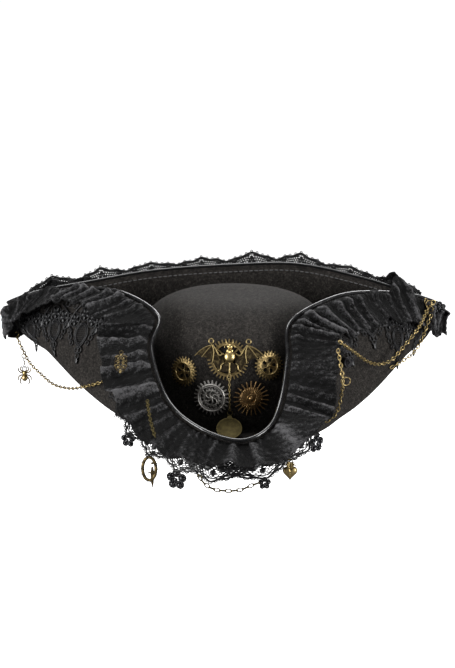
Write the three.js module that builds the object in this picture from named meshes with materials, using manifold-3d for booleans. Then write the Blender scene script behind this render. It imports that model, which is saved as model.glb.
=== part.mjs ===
// Steampunk tricorn hat: a felt crown and cocked brim with a leather edge piping, pleated cloth
// ruffles, pierced lace, metal gears, a bat, a medallion, chains and small hanging charms.
// Millimetres, +Z up, the front corner towards -Y. The origin is the centre of the head opening.

import * as THREE from "three";
import { mergeVertices } from "three/addons/utils/BufferGeometryUtils.js";
import Module from "manifold-3d";

// Felt body
const HEAD_HALF_WIDTH = 93;
const HEAD_HALF_LENGTH = 101;
const HEAD_DIP = 6;
const CROWN_HEIGHT = 99;
const CROWN_SQUARENESS = 4;
const FELT_WALL = 2.2;
const WING_REACH = 223;
const FRONT_REACH = 178;
const FLAP_HEIGHT = 105;
const FOLD_SHARPNESS = 3;

// Trims sewn along the brim edge
const SEAT_GAP = 0.35;
const PIPING_RADIUS = 2;
const RUFFLE_SINK = 2;
const LACE_SINK = 5;
const RUFFLE_WIDTH = 45;
const RUFFLE_WALL = 1.2;
const PLEAT_PITCH = 24;
const PLEAT_HEIGHT = 7;
const LACE_WIDTH = 42;
const LACE_WALL = 1;
const LACE_SCALLOP = 5;
const GUIPURE_WALL = 1.2;
const GUIPURE_DROP = 62;
const GUIPURE_SEAT = 1;
const BACK_LACE_STAND = 7;
const BACK_LACE_SEAT = 9;

// Metal findings
const LINK_WIDTH = 2.8;
const PLATE_WALL = 1.2;
const LARGE_GEAR_RADIUS = 17.3;
const SIDE_GEAR_RADIUS = 12.9;
const SILVER_GEAR_RADIUS = 15.4;
const SUNBURST_RADIUS = 15.6;
const BAT_SPAN = 59;
const MEDALLION_RADIUS = 11.2;
const RING_WIRE = 0.9;
const SPIDER_SPAN = 13;
const SPIDER_DROP = 13;
const HEART_WIDTH = 11.5;
const THORN_RING_HEIGHT = 21;
const FILIGREE_HEIGHT = 19;
const CHARM_LEAN = 0.55;
const FLOWER_RADIUS = 8.5;
const ROSE_RADIUS = 6;

// How finely the felt is divided
const COLUMNS_PER_LAP = 60;
const CROWN_RINGS = 5;
const BRIM_RINGS = 8;

// Turns rows of bare values into records with the named columns
function table(columns, rows) {
  const names = columns.split(" ");
  return rows.map((row) => Object.fromEntries(names.map((name, i) => [name, row[i]])));
}

// One row for each section of the brim, running clockwise from the front corner. azimuth is in
// degrees at the head opening; fold and edge are shares of the wing reach, front reach and flap
// height; ruffle and lace are shares of the trims' widths, and their flares are the angles in
// degrees between the trim and the felt that it is sewn to.
const SECTIONS = table(
  "place azimuth foldX foldY foldZ edgeX edgeY edgeZ ruffle ruffleFlare lace laceFlare",
  [
    ["front corner", -90, 0.013, -0.845, -0.072, 0.013, -1.0, 0.108, 0.92, 140, 0.78, 96],
    ["front left", -105, -0.179, -0.781, -0.099, -0.145, -0.92, 0.18, 0.85, 96, 0.88, 46],
    ["left low cheek", -118, -0.34, -0.652, -0.108, -0.264, -0.759, 0.333, 0.95, 79, 0.94, 48],
    ["left cheek", -130, -0.451, -0.513, -0.099, -0.332, -0.545, 0.658, 1.0, 68, 1.0, 40],
    ["left shoulder", -143, -0.528, -0.364, -0.081, -0.311, -0.385, 0.883, 1.05, 63, 1.0, 40],
    ["left flap", -158, -0.617, -0.214, -0.036, -0.46, -0.16, 1.0, 0.95, 66, 1.0, 40],
    ["left flap outer", -172, -0.74, -0.032, 0.099, -0.647, 0.053, 0.964, 0.65, 63, 1.0, 40],
    ["left tip front", -186, -0.877, 0.225, 0.315, -0.872, 0.267, 0.829, 0.6, 45, 1.0, 40],
    ["left tip", -192, -0.949, 0.353, 0.396, -1.0, 0.396, 0.703, 0.66, 12, 1.0, 30],
    ["left tip back", -200, -0.851, 0.471, 0.36, -0.872, 0.492, 0.775, 0.8, 30, 1.0, 30],
    ["back left", -220, -0.574, 0.599, 0.126, -0.638, 0.588, 0.838, 1.0, 22, 1.0, 30],
    ["back left middle", -245, -0.306, 0.695, -0.036, -0.362, 0.674, 0.91, 1.0, 20, 1.0, 30],
    ["back", -270, 0.0, 0.727, -0.063, 0.0, 0.711, 0.955, 1.0, 20, 1.0, 30],
    ["back right middle", -295, 0.306, 0.695, -0.036, 0.298, 0.674, 0.973, 1.0, 20, 1.0, 30],
    ["back right", -320, 0.553, 0.599, 0.108, 0.596, 0.578, 0.865, 1.0, 22, 1.0, 30],
    ["right tip back", -340, 0.783, 0.449, 0.306, 0.8, 0.471, 0.757, 0.8, 30, 1.0, 30],
    ["right tip", -348, 0.864, 0.332, 0.36, 0.906, 0.364, 0.703, 0.6, 8, 1.0, 30],
    ["right tip front", -356, 0.8, 0.193, 0.27, 0.791, 0.225, 0.829, 0.62, 12, 1.0, 30],
    ["right flap outer", -370, 0.681, -0.053, 0.09, 0.596, 0.011, 0.946, 0.62, 25, 1.0, 30],
    ["right flap", -384, 0.57, -0.235, -0.036, 0.417, -0.182, 0.973, 0.9, 32, 1.0, 30],
    ["right shoulder", -398, 0.485, -0.385, -0.081, 0.23, -0.417, 0.847, 1.0, 57, 1.0, 30],
    ["right cheek", -412, 0.417, -0.524, -0.099, 0.213, -0.567, 0.595, 1.0, 62, 1.0, 25],
    ["right low cheek", -424, 0.315, -0.663, -0.108, 0.183, -0.759, 0.324, 0.92, 50, 0.9, 20],
    ["front right", -437, 0.179, -0.781, -0.099, 0.128, -0.93, 0.171, 0.78, 90, 0.77, 62],
  ],
);
const LEFT_TIP = 8;
const RIGHT_TIP = 16;
const LAPS_ROWS = SECTIONS.length;

// Where each ornament sits on the crown: azimuth in degrees, share of the crown's height, and how
// far the felt's flat facet lies behind its curve there
const CROWN_PLACES = {
  largeGear: { azimuth: -93.5, height: 0.637, facet: 0 },
  leftGear: { azimuth: -119, height: 0.503, facet: 0.2 },
  rightGear: { azimuth: -70.5, height: 0.572, facet: 0 },
  silverGear: { azimuth: -102.5, height: 0.307, facet: 0.9 },
  sunburst: { azimuth: -80.8, height: 0.304, facet: 0.9 },
  pendantBail: { azimuth: -92.4, height: 0.185, facet: 0 },
};

// The bat's place over the large gear, to the right and up
const BAT_SHIFT = [1.4, 4];

// Point of the left chain that holds the spider
const SPIDER_HOLD = [-208.2, 62, 26.5];

// Routes of the chains, from their upper or left end
const CHAIN_ROUTES = {
  chain_left: [
    [-217.3, 77.3, 40.1], [-213.6, 72, 33], SPIDER_HOLD, [-201, 50, 18.4], [-188.6, 34, 11.5],
    [-173.9, 14, 6.5], [-156.5, -8, 8.9], [-142.2, -26, 15.4], [-127, -44, 24],
    [-108, -56.8, 33.5],
  ],
  chain_front: [
    [-30.5, -182.9, -17.9], [-26.3, -188, -23.3], [-17.6, -194, -26.6], [-6.6, -197, -27],
    [4.4, -199, -25.5], [12, -198.5, -22.5], [20.2, -195.2, -20.4],
  ],
  chain_right_upper: [
    [189.4, 41, 78.6], [184, 27, 71.5], [175, 3, 64.4], [163, -6, 52.4],
    [149, -18, 40.3], [136, -32, 39.2], [122.6, -50, 46.9], [108, -76, 62.8],
    [98.4, -103, 75], [92, -108.9, 80.9],
  ],
  chain_right_lower: [
    [192.1, 39.2, 70.1], [186.5, 29.9, 60.3], [181, 20, 49.9], [173.5, 11, 40.2],
    [161, 1, 33.4], [149, -5.2, 28.4],
  ],
  chain_right_drop: [
    [90.7, -115.3, 75.3], [92.2, -125, 66.5], [94, -130, 55], [94.5, -128, 43.9], [93.2, -123, 31.3],
    [91, -121, 20.5], [85, -121, 13], [76.9, -121.8, 9.8],
  ],
  chain_cheek: [
    [-75.9, -142, 36.6], [-74.2, -154, 31.6], [-72.4, -163, 26], [-70.2, -172, 20.8],
    [-67.4, -182, 16],
  ],
};

// Materials
const FELT = { color: 0x262220, roughness: 0.96, metalness: 0 };
const PIPING_LEATHER = { color: 0x141416, roughness: 0.22, metalness: 0 };
const RUFFLE_CLOTH = { color: 0x222226, roughness: 0.85, metalness: 0 };
const LACE_THREAD = { color: 0x17171a, roughness: 0.8, metalness: 0 };
const ANTIQUE_BRASS = { color: 0x8a6f36, roughness: 0.4, metalness: 1 };
const DARK_BRONZE = { color: 0x5c4c28, roughness: 0.45, metalness: 1 };
const GUNMETAL = { color: 0x6b6762, roughness: 0.4, metalness: 1 };
const COPPER = { color: 0x7d5630, roughness: 0.42, metalness: 1 };
const BLACK_BEAD = { color: 0x0c0c0e, roughness: 0.18, metalness: 0 };
const ROSE_CLOTH = { color: 0x1b1a1e, roughness: 0.7, metalness: 0 };

const wasm = await Module();
wasm.setup();
const hat = new THREE.Group();

// Adds a finished mesh to the hat
function addPiece(name, geometry, finish) {
  const mesh = new THREE.Mesh(geometry, new THREE.MeshStandardMaterial(finish));
  mesh.name = name;
  hat.add(mesh);
  return mesh;
}

const vec = (x, y, z) => new THREE.Vector3(x, y, z);
const mix = (a, b, t) => a + (b - a) * t;
const radians = THREE.MathUtils.degToRad;

// Closed Catmull-Rom loop through one column of the section table. The value gains lap for each
// full turn, which keeps the azimuth running on.
function along(column, s, lap = 0) {
  const start = Math.floor(s);
  const t = s - start;
  const at = (i) => {
    const turns = Math.floor(i / LAPS_ROWS);
    return SECTIONS[i - turns * LAPS_ROWS][column] + lap * turns;
  };
  const [a, b, c, d] = [at(start - 1), at(start), at(start + 1), at(start + 2)];
  const square = (2 * a - 5 * b + 4 * c - d) * t * t;
  const cube = (3 * b - a - 3 * c + d) * t * t * t;
  return 0.5 * (2 * b + (c - a) * t + square + cube);
}

// A point of the crown's middle surface: a superellipse dome over the head opening's oval, whose
// rim dips at the front and the back. rise runs from 0 at the rim to 1 at the top.
function crownPoint(azimuth, rise) {
  const quarter = (rise * Math.PI) / 2;
  const reach = Math.cos(quarter) ** (2 / CROWN_SQUARENESS);
  const lift = Math.sin(quarter) ** (2 / CROWN_SQUARENESS);
  const dip = HEAD_DIP * Math.sin(azimuth) ** 2;
  return vec(
    HEAD_HALF_WIDTH * Math.cos(azimuth) * reach,
    HEAD_HALF_LENGTH * Math.sin(azimuth) * reach,
    lift * (CROWN_HEIGHT + dip) - dip,
  );
}

// A point of the brim's middle surface. t runs from 0 at the crown to 1 at the edge, along a
// conic from the crown's rim towards the fold line and up to the edge.
function brimPoint(s, t) {
  const root = crownPoint(radians(along("azimuth", s, -360)), 0);
  const scale = vec(WING_REACH, FRONT_REACH, FLAP_HEIGHT);
  const fold = vec(along("foldX", s), along("foldY", s), along("foldZ", s)).multiply(scale);
  const edge = vec(along("edgeX", s), along("edgeY", s), along("edgeZ", s)).multiply(scale);
  const [k0, k1, k2] = [(1 - t) ** 2, 2 * FOLD_SHARPNESS * t * (1 - t), t ** 2];
  root.multiplyScalar(k0).addScaledVector(fold, k1).addScaledVector(edge, k2);
  return root.multiplyScalar(1 / (k0 + k1 + k2));
}

// Solid through closed cross-sections of equal size, each a list of points. Its ends are closed
// by pairing a section's two halves, or it runs on from the last section to the first.
function loft(sections, closed = false) {
  const size = sections[0].length;
  const count = sections.length;
  const positions = sections.flat().flatMap((p) => [p.x, p.y, p.z]);
  const faces = [];
  for (let i = 0; i < (closed ? count : count - 1); i += 1) {
    for (let j = 0; j < size; j += 1) {
      const k = (j + 1) % size;
      const next = (i + 1) % count;
      faces.push([i * size + j, i * size + k, next * size + k]);
      faces.push([i * size + j, next * size + k, next * size + j]);
    }
  }
  if (!closed) {
    for (let j = 0; j < size / 2 - 1; j += 1) {
      const far = size - 1 - j;
      for (const [base, flip] of [[0, false], [(count - 1) * size, true]]) {
        const quad = [base + j, base + far, base + far - 1, base + j + 1];
        const order = flip ? [0, 2, 1, 0, 3, 2] : [0, 1, 2, 0, 2, 3];
        faces.push(order.slice(0, 3).map((n) => quad[n]));
        faces.push(order.slice(3).map((n) => quad[n]));
      }
    }
  }
  return facesOut(positions, faces.flat());
}

// Indexed geometry whose faces are turned outwards when its signed volume is negative
function facesOut(positions, index) {
  let volume = 0;
  const corner = (n) => vec(...positions.slice(3 * n, 3 * n + 3));
  for (let i = 0; i < index.length; i += 3) {
    const [a, b, c] = [corner(index[i]), corner(index[i + 1]), corner(index[i + 2])];
    volume += a.dot(b.cross(c));
  }
  const turned = volume < 0 ? index.slice().reverse() : index;
  const geometry = new THREE.BufferGeometry();
  geometry.setAttribute("position", new THREE.Float32BufferAttribute(positions, 3));
  geometry.setIndex(turned);
  return geometry;
}

// Grid of the felt's middle surface: one column for each step round the brim, from the crown's
// top to the brim edge, with the surface normal that points to the hat's upper side
function feltGrid() {
  const columns = [];
  for (let c = 0; c < COLUMNS_PER_LAP; c += 1) {
    const s = (c * LAPS_ROWS) / COLUMNS_PER_LAP;
    const azimuth = radians(along("azimuth", s, -360));
    const points = [];
    for (let r = 0; r <= CROWN_RINGS; r += 1) points.push(crownPoint(azimuth, 1 - r / CROWN_RINGS));
    for (let r = 1; r <= BRIM_RINGS; r += 1) points.push(brimPoint(s, r / BRIM_RINGS));
    columns.push({ points, normals: [] });
  }
  const rings = columns[0].points.length;
  columns.forEach((column, c) => {
    const before = columns[(c + COLUMNS_PER_LAP - 1) % COLUMNS_PER_LAP].points;
    const after = columns[(c + 1) % COLUMNS_PER_LAP].points;
    for (let r = 0; r < rings; r += 1) {
      const down = column.points[Math.min(r + 1, rings - 1)].clone();
      down.sub(column.points[Math.max(r - 1, 0)]);
      const across = after[r].clone().sub(before[r]);
      const normal = r === 0 ? vec(0, 0, 1) : across.cross(down).normalize();
      column.normals.push(normal);
    }
  });
  return columns;
}

const felt = feltGrid();
const EDGE_RING = CROWN_RINGS + BRIM_RINGS;
const FREE_HANG_RING = CROWN_RINGS + 5;

// The felt shell: the upper and the under side, half a wall either side of the middle surface,
// joined round the brim edge and closed at the crown's top
function feltShell() {
  const positions = [];
  const faces = [];
  const push = (p) => positions.push(p.x, p.y, p.z);
  const side = (column, r, sign) =>
    column.points[r].clone().addScaledVector(column.normals[r], (sign * FELT_WALL) / 2);
  push(side(felt[0], 0, 1));
  push(side(felt[0], 0, -1));
  const ring = 2 * EDGE_RING;
  felt.forEach((column) => {
    for (let r = 1; r <= EDGE_RING; r += 1) push(side(column, r, 1));
    for (let r = EDGE_RING; r >= 1; r -= 1) push(side(column, r, -1));
  });
  felt.forEach((column, c) => {
    const here = 2 + c * ring;
    const next = 2 + ((c + 1) % COLUMNS_PER_LAP) * ring;
    faces.push([0, here, next], [1, next + ring - 1, here + ring - 1]);
    for (let j = 0; j < ring - 1; j += 1) {
      faces.push([here + j, here + j + 1, next + j + 1], [here + j, next + j + 1, next + j]);
    }
  });
  return facesOut(positions, faces.flat());
}

// Directions at the brim edge, blended between the felt's own columns so that a trim follows the
// facets that it is sewn to: up leaves the edge, out leaves the outer face, ahead runs clockwise
function edgeFrame(s) {
  const place = ((((s % LAPS_ROWS) + LAPS_ROWS) % LAPS_ROWS) * COLUMNS_PER_LAP) / LAPS_ROWS;
  const c = Math.floor(place + 1e-9);
  const t = Math.max(0, place - c);
  const [a, b] = [felt[c % COLUMNS_PER_LAP], felt[(c + 1) % COLUMNS_PER_LAP]];
  const blend = (pick) => pick(a).clone().lerp(pick(b), t);
  const edge = blend((column) => column.points[EDGE_RING]);
  const below = blend((column) => column.points[EDGE_RING - 1]);
  const out = blend((column) => column.normals[EDGE_RING]).negate().normalize();
  const up = edge.clone().sub(below).normalize();
  return { edge, up, out, ahead: up.clone().cross(out) };
}

// A point of a trim that is sewn under the brim edge, sink below it and seat off the felt's middle:
// down is the distance from the seam along the trim, lift the height off its face. The trim leaves
// the felt at its flare angle.
function trimPoint(s, down, flare, { sink, seat }, lift) {
  const { edge, up, out, ahead } = edgeFrame(s);
  const angle = radians(flare);
  const fall = up.clone().multiplyScalar(-Math.cos(angle)).addScaledVector(out, Math.sin(angle));
  const face = fall.clone().cross(ahead).normalize();
  return edge
    .addScaledVector(up, -sink)
    .addScaledVector(out, seat)
    .addScaledVector(fall, down)
    .addScaledVector(face, lift);
}

// Length of the brim edge between two sections
function edgeLength(from, to) {
  const steps = 200;
  let length = 0;
  let last = brimPoint(from, 1);
  for (let i = 1; i <= steps; i += 1) {
    const point = brimPoint(mix(from, to, i / steps), 1);
    length += point.distanceTo(last);
    last = point;
  }
  return length;
}

// Sections at equal steps of length along the brim edge
function evenSections(from, to, count) {
  const fine = 400;
  const total = edgeLength(from, to);
  const places = [from];
  let last = brimPoint(from, 1);
  let length = 0;
  for (let i = 1; i <= fine; i += 1) {
    const s = mix(from, to, i / fine);
    const point = brimPoint(s, 1);
    length += point.distanceTo(last);
    last = point;
    while (places.length < count && length >= (total * places.length) / count) places.push(s);
  }
  places.push(to);
  return places.slice(0, count + 1);
}

// Rolled leather piping that caps the brim edge
function edgePiping() {
  const sides = 5;
  const sections = felt.map((column, c) => {
    const { edge, up, out } = edgeFrame((c * LAPS_ROWS) / COLUMNS_PER_LAP);
    const centre = edge.addScaledVector(up, PIPING_RADIUS + SEAT_GAP);
    return Array.from({ length: sides }, (_, i) => {
      const angle = (2 * Math.PI * (i + 0.5)) / sides;
      return centre
        .clone()
        .addScaledVector(up, PIPING_RADIUS * Math.cos(angle))
        .addScaledVector(out, PIPING_RADIUS * Math.sin(angle));
    });
  });
  return loft(sections, true);
}

// Height of the ruffle's pleats: a main wave with a slower one over it, never below the face
function pleatHeight(length, down) {
  const main = Math.cos((2 * Math.PI * length) / PLEAT_PITCH);
  const slow = Math.cos((2 * Math.PI * length) / (2.7 * PLEAT_PITCH));
  const growth = mix(0.06, 1, down);
  return PLEAT_HEIGHT * (0.5 + 0.34 * main + 0.16 * slow) * growth;
}

// A pleated ruffle between two sections of the edge. seat is where its seam's inner face lies,
// and rows are the shares of its width at which it bends.
function ruffle(from, to, seat, rows) {
  const seam = { sink: RUFFLE_SINK, seat: seat + RUFFLE_WALL / 2 };
  const length = edgeLength(from, to);
  const pleats = Math.round(length / PLEAT_PITCH);
  const stepsPerPleat = 4;
  const steps = pleats * stepsPerPleat;
  const sections = evenSections(from, to, steps).map((s, i) => {
    const width = RUFFLE_WIDTH * along("ruffle", s);
    const flare = along("ruffleFlare", s);
    const run = (i * PLEAT_PITCH) / stepsPerPleat;
    const half = RUFFLE_WALL / 2;
    const row = (share, sign) =>
      trimPoint(s, share * width, flare, seam, pleatHeight(run, share) + sign * half);
    return [...rows.map((w) => row(w, 1)), ...rows.map((w) => row(w, -1)).reverse()];
  });
  return loft(sections);
}

// A point over the front ruffle's pleats: share is its place between the seam and the hem
function ruffleTop(s, share, clear) {
  const width = RUFFLE_WIDTH * along("ruffle", s);
  const seam = { sink: RUFFLE_SINK, seat: FRONT_RUFFLE_SEAT };
  const crest = PLEAT_HEIGHT * mix(0.06, 1, share);
  return trimPoint(s, share * width, along("ruffleFlare", s), seam, crest + clear);
}

// A sheet of cells between two faces, with some cells left open. place(x, y, side) gives the
// corner points, x and y counting columns and rows; open(x, y) says which cells are holes.
function piercedSheet(columns, rows, place, open) {
  const positions = [];
  const faces = [];
  const id = (x, y, side) => 2 * (x * (rows + 1) + y) + side;
  for (let x = 0; x <= columns; x += 1) {
    for (let y = 0; y <= rows; y += 1) {
      for (const side of [0, 1]) positions.push(...place(x, y, side).toArray());
    }
  }
  const solid = (x, y) => x >= 0 && y >= 0 && x < columns && y < rows && !open(x, y);
  const quad = (a, b, c, d) => faces.push(a, b, c, a, c, d);
  for (let x = 0; x < columns; x += 1) {
    for (let y = 0; y < rows; y += 1) {
      if (!solid(x, y)) continue;
      quad(id(x, y, 0), id(x, y + 1, 0), id(x + 1, y + 1, 0), id(x + 1, y, 0));
      quad(id(x, y, 1), id(x + 1, y, 1), id(x + 1, y + 1, 1), id(x, y + 1, 1));
      const rims = [
        [x - 1, y, [x, y], [x, y + 1]],
        [x + 1, y, [x + 1, y + 1], [x + 1, y]],
        [x, y - 1, [x + 1, y], [x, y]],
        [x, y + 1, [x, y + 1], [x + 1, y + 1]],
      ];
      for (const [nx, ny, p, q] of rims) {
        if (!solid(nx, ny)) quad(id(...p, 0), id(...p, 1), id(...q, 1), id(...q, 0));
      }
    }
  }
  return trimmed(facesOut(positions, faces));
}

// The geometry without the points that no face uses
function trimmed(geometry) {
  return mergeVertices(geometry.toNonIndexed(), 1e-6);
}

// Seams of the layers that are sewn one over the other under the edge
const LACE_SEAM = { sink: LACE_SINK, seat: FELT_WALL / 2 + SEAT_GAP + LACE_WALL / 2 };
const FRONT_RUFFLE_SEAT = FELT_WALL / 2 + 2 * SEAT_GAP + LACE_WALL;
const BACK_RUFFLE_SEAT = PIPING_RADIUS + 2 * SEAT_GAP + LACE_WALL;
const TIP_GAP = 0.06;

// Columns of the front lace, which runs from the right cheek round the front to the left cheek
const LACE_COLUMNS = 44;
const SCALLOP_COLUMNS = 4;
const LACE_PLACES = evenSections(-3, 3, LACE_COLUMNS);

// A point of the front lace: column counts its columns from the right end, share runs from the
// seam to the scalloped hem, lift is the height off its middle
function lacePoint(column, share, lift = 0) {
  const s = LACE_PLACES[column];
  const wave = 0.5 + 0.5 * Math.cos((2 * Math.PI * column) / SCALLOP_COLUMNS);
  const width = LACE_WIDTH * along("lace", s) - LACE_SCALLOP * wave;
  return trimPoint(s, share * width, along("laceFlare", s), LACE_SEAM, lift);
}

// Net lace that hangs under the front ruffle, with a scalloped hem and a row of open gaps
function frontLace() {
  const rows = 3;
  const place = (x, y, side) => lacePoint(x, y / rows, (side - 0.5) * LACE_WALL);
  const open = (x, y) => y === 1 && x % 2 === 1 && x < LACE_COLUMNS - 1;
  return piercedSheet(LACE_COLUMNS, rows, place, open);
}

// A point over the outer face of the brim: depth is the distance from the edge along the
// section, lift the height off the felt. Past the start of the fold it hangs straight down.
function outerFacePoint(s, depth, lift) {
  const place = ((((s % LAPS_ROWS) + LAPS_ROWS) % LAPS_ROWS) * COLUMNS_PER_LAP) / LAPS_ROWS;
  const c = Math.floor(place + 1e-9);
  const t = Math.max(0, place - c);
  const walk = (column) => {
    let left = depth;
    for (let r = EDGE_RING; r > FREE_HANG_RING; r -= 1) {
      const step = column.points[r].distanceTo(column.points[r - 1]);
      const share = left / step;
      if (share <= 1) {
        const point = column.points[r].clone().lerp(column.points[r - 1], share);
        return { point, normal: column.normals[r].clone().lerp(column.normals[r - 1], share) };
      }
      left -= step;
    }
    const point = column.points[FREE_HANG_RING].clone().sub(vec(0, 0, left));
    return { point, normal: column.normals[FREE_HANG_RING] };
  };
  const [a, b] = [walk(felt[c % COLUMNS_PER_LAP]), walk(felt[(c + 1) % COLUMNS_PER_LAP])];
  const normal = a.normal.clone().lerp(b.normal, t).normalize();
  return a.point.clone().lerp(b.point, t).addScaledVector(normal, -(FELT_WALL / 2 + lift));
}

// Corded lace on the outer face of a front flap, hanging in long and short drops with gaps
// between them. reach holds one share of the full drop for each motif.
function cordedLace(from, to, reach) {
  const columnsPerMotif = 4;
  const columns = reach.length * columnsPerMotif;
  const rows = 4;
  const top = 6;
  const places = evenSections(from, to, columns);
  const place = (x, y, side) => {
    const motif = Math.min(reach.length - 1, Math.floor(x / columnsPerMotif));
    const phase = (x - motif * columnsPerMotif) / columnsPerMotif;
    const bulge = Math.sin(Math.PI * phase) ** 2;
    const depth = top + GUIPURE_DROP * reach[motif] * mix(0.55, 1, bulge);
    const lift = GUIPURE_SEAT + side * GUIPURE_WALL;
    return outerFacePoint(places[x], mix(top, depth, y / rows), lift);
  };
  const open = (x, y) => (y === 1 || y === 3) && x % 2 === 1 && x < columns - 1;
  return piercedSheet(columns, rows, place, open);
}

// Lace that stands above the back edge in soft scallops, sewn between the felt and the ruffle
function backLace() {
  const columns = 32;
  const rows = 3;
  const scallopColumns = 4;
  const places = evenSections(LEFT_TIP + 0.8, RIGHT_TIP - 0.8, columns);
  const place = (x, y, side) => {
    const wave = 0.5 - 0.5 * Math.cos((2 * Math.PI * (x % scallopColumns)) / scallopColumns);
    const { edge, up, out } = edgeFrame(places[x]);
    const crest = 2 * PIPING_RADIUS + SEAT_GAP + BACK_LACE_STAND * mix(0.25, 1, wave);
    const seat = PIPING_RADIUS + SEAT_GAP + side * LACE_WALL;
    return edge
      .addScaledVector(up, mix(crest, -BACK_LACE_SEAT, y / rows))
      .addScaledVector(out, seat);
  };
  const open = (x, y) => y === 1 && x % 2 === 1 && x < columns - 1;
  return piercedSheet(columns, rows, place, open);
}

// Joins overlapping closed geometries into one solid. Coordinates are rounded first, so that
// corners that should meet do.
function fuse(geometries) {
  const grid = 1e4;
  const solids = geometries.map((geometry) => {
    const source = geometry.index ? geometry.toNonIndexed() : geometry;
    const corners = Array.from(source.getAttribute("position").array, (v) => Math.round(v * grid));
    const bare = new THREE.BufferGeometry();
    bare.setAttribute("position", new THREE.Float32BufferAttribute(corners, 3));
    const merged = mergeVertices(bare, 0.1).scale(1 / grid, 1 / grid, 1 / grid);
    return new wasm.Manifold(
      new wasm.Mesh({
        numProp: 3,
        vertProperties: new Float32Array(merged.getAttribute("position").array),
        triVerts: new Uint32Array(merged.index.array),
      }),
    );
  });
  const whole = solids.reduce((sum, solid) => sum.add(solid)).getMesh();
  const geometry = new THREE.BufferGeometry();
  const points = new THREE.BufferAttribute(whole.vertProperties.slice(), 3);
  geometry.setAttribute("position", points);
  geometry.setIndex(new THREE.BufferAttribute(whole.triVerts.slice(), 1));
  return geometry;
}

// A flat plate cut to a shape, standing upright with its face towards -Y and its back at y = 0
function plate(shape, wall = PLATE_WALL) {
  const geometry = new THREE.ExtrudeGeometry(shape, { depth: wall, bevelEnabled: false });
  return geometry.rotateX(Math.PI / 2);
}

const polygon = (points) => new THREE.Shape(points.map(([x, y]) => new THREE.Vector2(x, y)));

// A round hole with few sides, cut into a shape
function cutHole(shape, x, y, radius, sides = 5) {
  const hole = new THREE.Path();
  for (let i = 0; i < sides; i += 1) {
    const angle = (2 * Math.PI * i) / sides;
    const [px, py] = [x + radius * Math.cos(angle), y + radius * Math.sin(angle)];
    if (i === 0) hole.moveTo(px, py);
    else hole.lineTo(px, py);
  }
  hole.closePath();
  shape.holes.push(hole);
}

// A toothed wheel seen from the front: pointed teeth round a web with round windows
function gear(radius, teeth, root, windows, windowRadius, windowRing) {
  const points = [];
  for (let i = 0; i < 2 * teeth; i += 1) {
    const angle = (Math.PI * i) / teeth;
    const r = i % 2 === 0 ? radius : radius * root;
    points.push([r * Math.sin(angle), r * Math.cos(angle)]);
  }
  const shape = polygon(points);
  for (let i = 0; i < windows; i += 1) {
    const angle = (2 * Math.PI * (i + 0.25)) / windows;
    const ring = radius * windowRing;
    cutHole(shape, ring * Math.sin(angle), ring * Math.cos(angle), radius * windowRadius);
  }
  return plate(shape);
}

// A wire ring that stands upright in the XZ plane
function wireRing(x, z, radius) {
  const section = 4;
  const around = 8;
  return new THREE.TorusGeometry(radius, RING_WIRE / 2, section, around)
    .rotateX(Math.PI / 2)
    .translate(x, 0, z);
}

// A faceted bead, stretched along Z
function bead(x, y, z, radius, stretch = 1) {
  return new THREE.IcosahedronGeometry(radius).scale(1, 1, stretch).translate(x, y, z);
}

// A bulge on a plate, as deep as half its width, with its back at y = 0
function boss(x, z, radius) {
  return new THREE.IcosahedronGeometry(radius).scale(1, 0.5, 1).translate(x, -radius / 2, z);
}

// Share of the crown's rise at which its wall reaches a height
function riseAt(height) {
  return (2 / Math.PI) * Math.asin(height ** (CROWN_SQUARENESS / 2));
}

// Directions at a place on the crown: side runs to the right, up the wall, out leaves the felt
function crownFrame({ azimuth, height }) {
  const angle = radians(azimuth);
  const rise = riseAt(height);
  const step = 0.01;
  const up = crownPoint(angle, rise + step).sub(crownPoint(angle, rise - step)).normalize();
  const side = crownPoint(angle + step, rise).sub(crownPoint(angle - step, rise)).normalize();
  const out = side.clone().cross(up).normalize();
  return { point: crownPoint(angle, rise), side, up, out };
}

// Seats a piece on the crown: its back lies against the felt, or a layer off it, and its top
// points up the wall. shift moves it along side and up.
function seatOnCrown(mesh, place, layers = 0, shift = [0, 0]) {
  const { point, side, up, out } = crownFrame(place);
  const layersOff = layers * (PLATE_WALL + SEAT_GAP);
  const standOff = FELT_WALL / 2 + SEAT_GAP - place.facet + layersOff;
  mesh.quaternion.setFromRotationMatrix(
    new THREE.Matrix4().makeBasis(side, out.clone().negate(), up),
  );
  mesh.position
    .copy(point)
    .addScaledVector(out, standOff)
    .addScaledVector(side, shift[0])
    .addScaledVector(up, shift[1]);
  return mesh;
}

// Hangs the medallion by its ring: it leans out from the crown until its rim rests on the brim
function hangMedallion(mesh) {
  const { point, side, out } = crownFrame(CROWN_PLACES.pendantBail);
  const { min } = new THREE.Box3().setFromBufferAttribute(mesh.geometry.getAttribute("position"));
  const brimTop = FELT_WALL / 2 + SEAT_GAP - HEAD_DIP;
  const reach = PLATE_WALL / 2 - min.z;
  const lean = Math.acos(Math.min(1, (point.z - brimTop) / reach));
  mesh.quaternion.setFromAxisAngle(side, -lean);
  mesh.position.copy(point).addScaledVector(out, FELT_WALL / 2 + 2 * PLATE_WALL);
}

// Hangs a piece under a point, with its top a small gap below it
function hangBelow(mesh, point, gap = SEAT_GAP) {
  const { max } = new THREE.Box3().setFromBufferAttribute(mesh.geometry.getAttribute("position"));
  mesh.position.set(point.x, point.y, point.z - gap - max.z);
}

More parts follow.
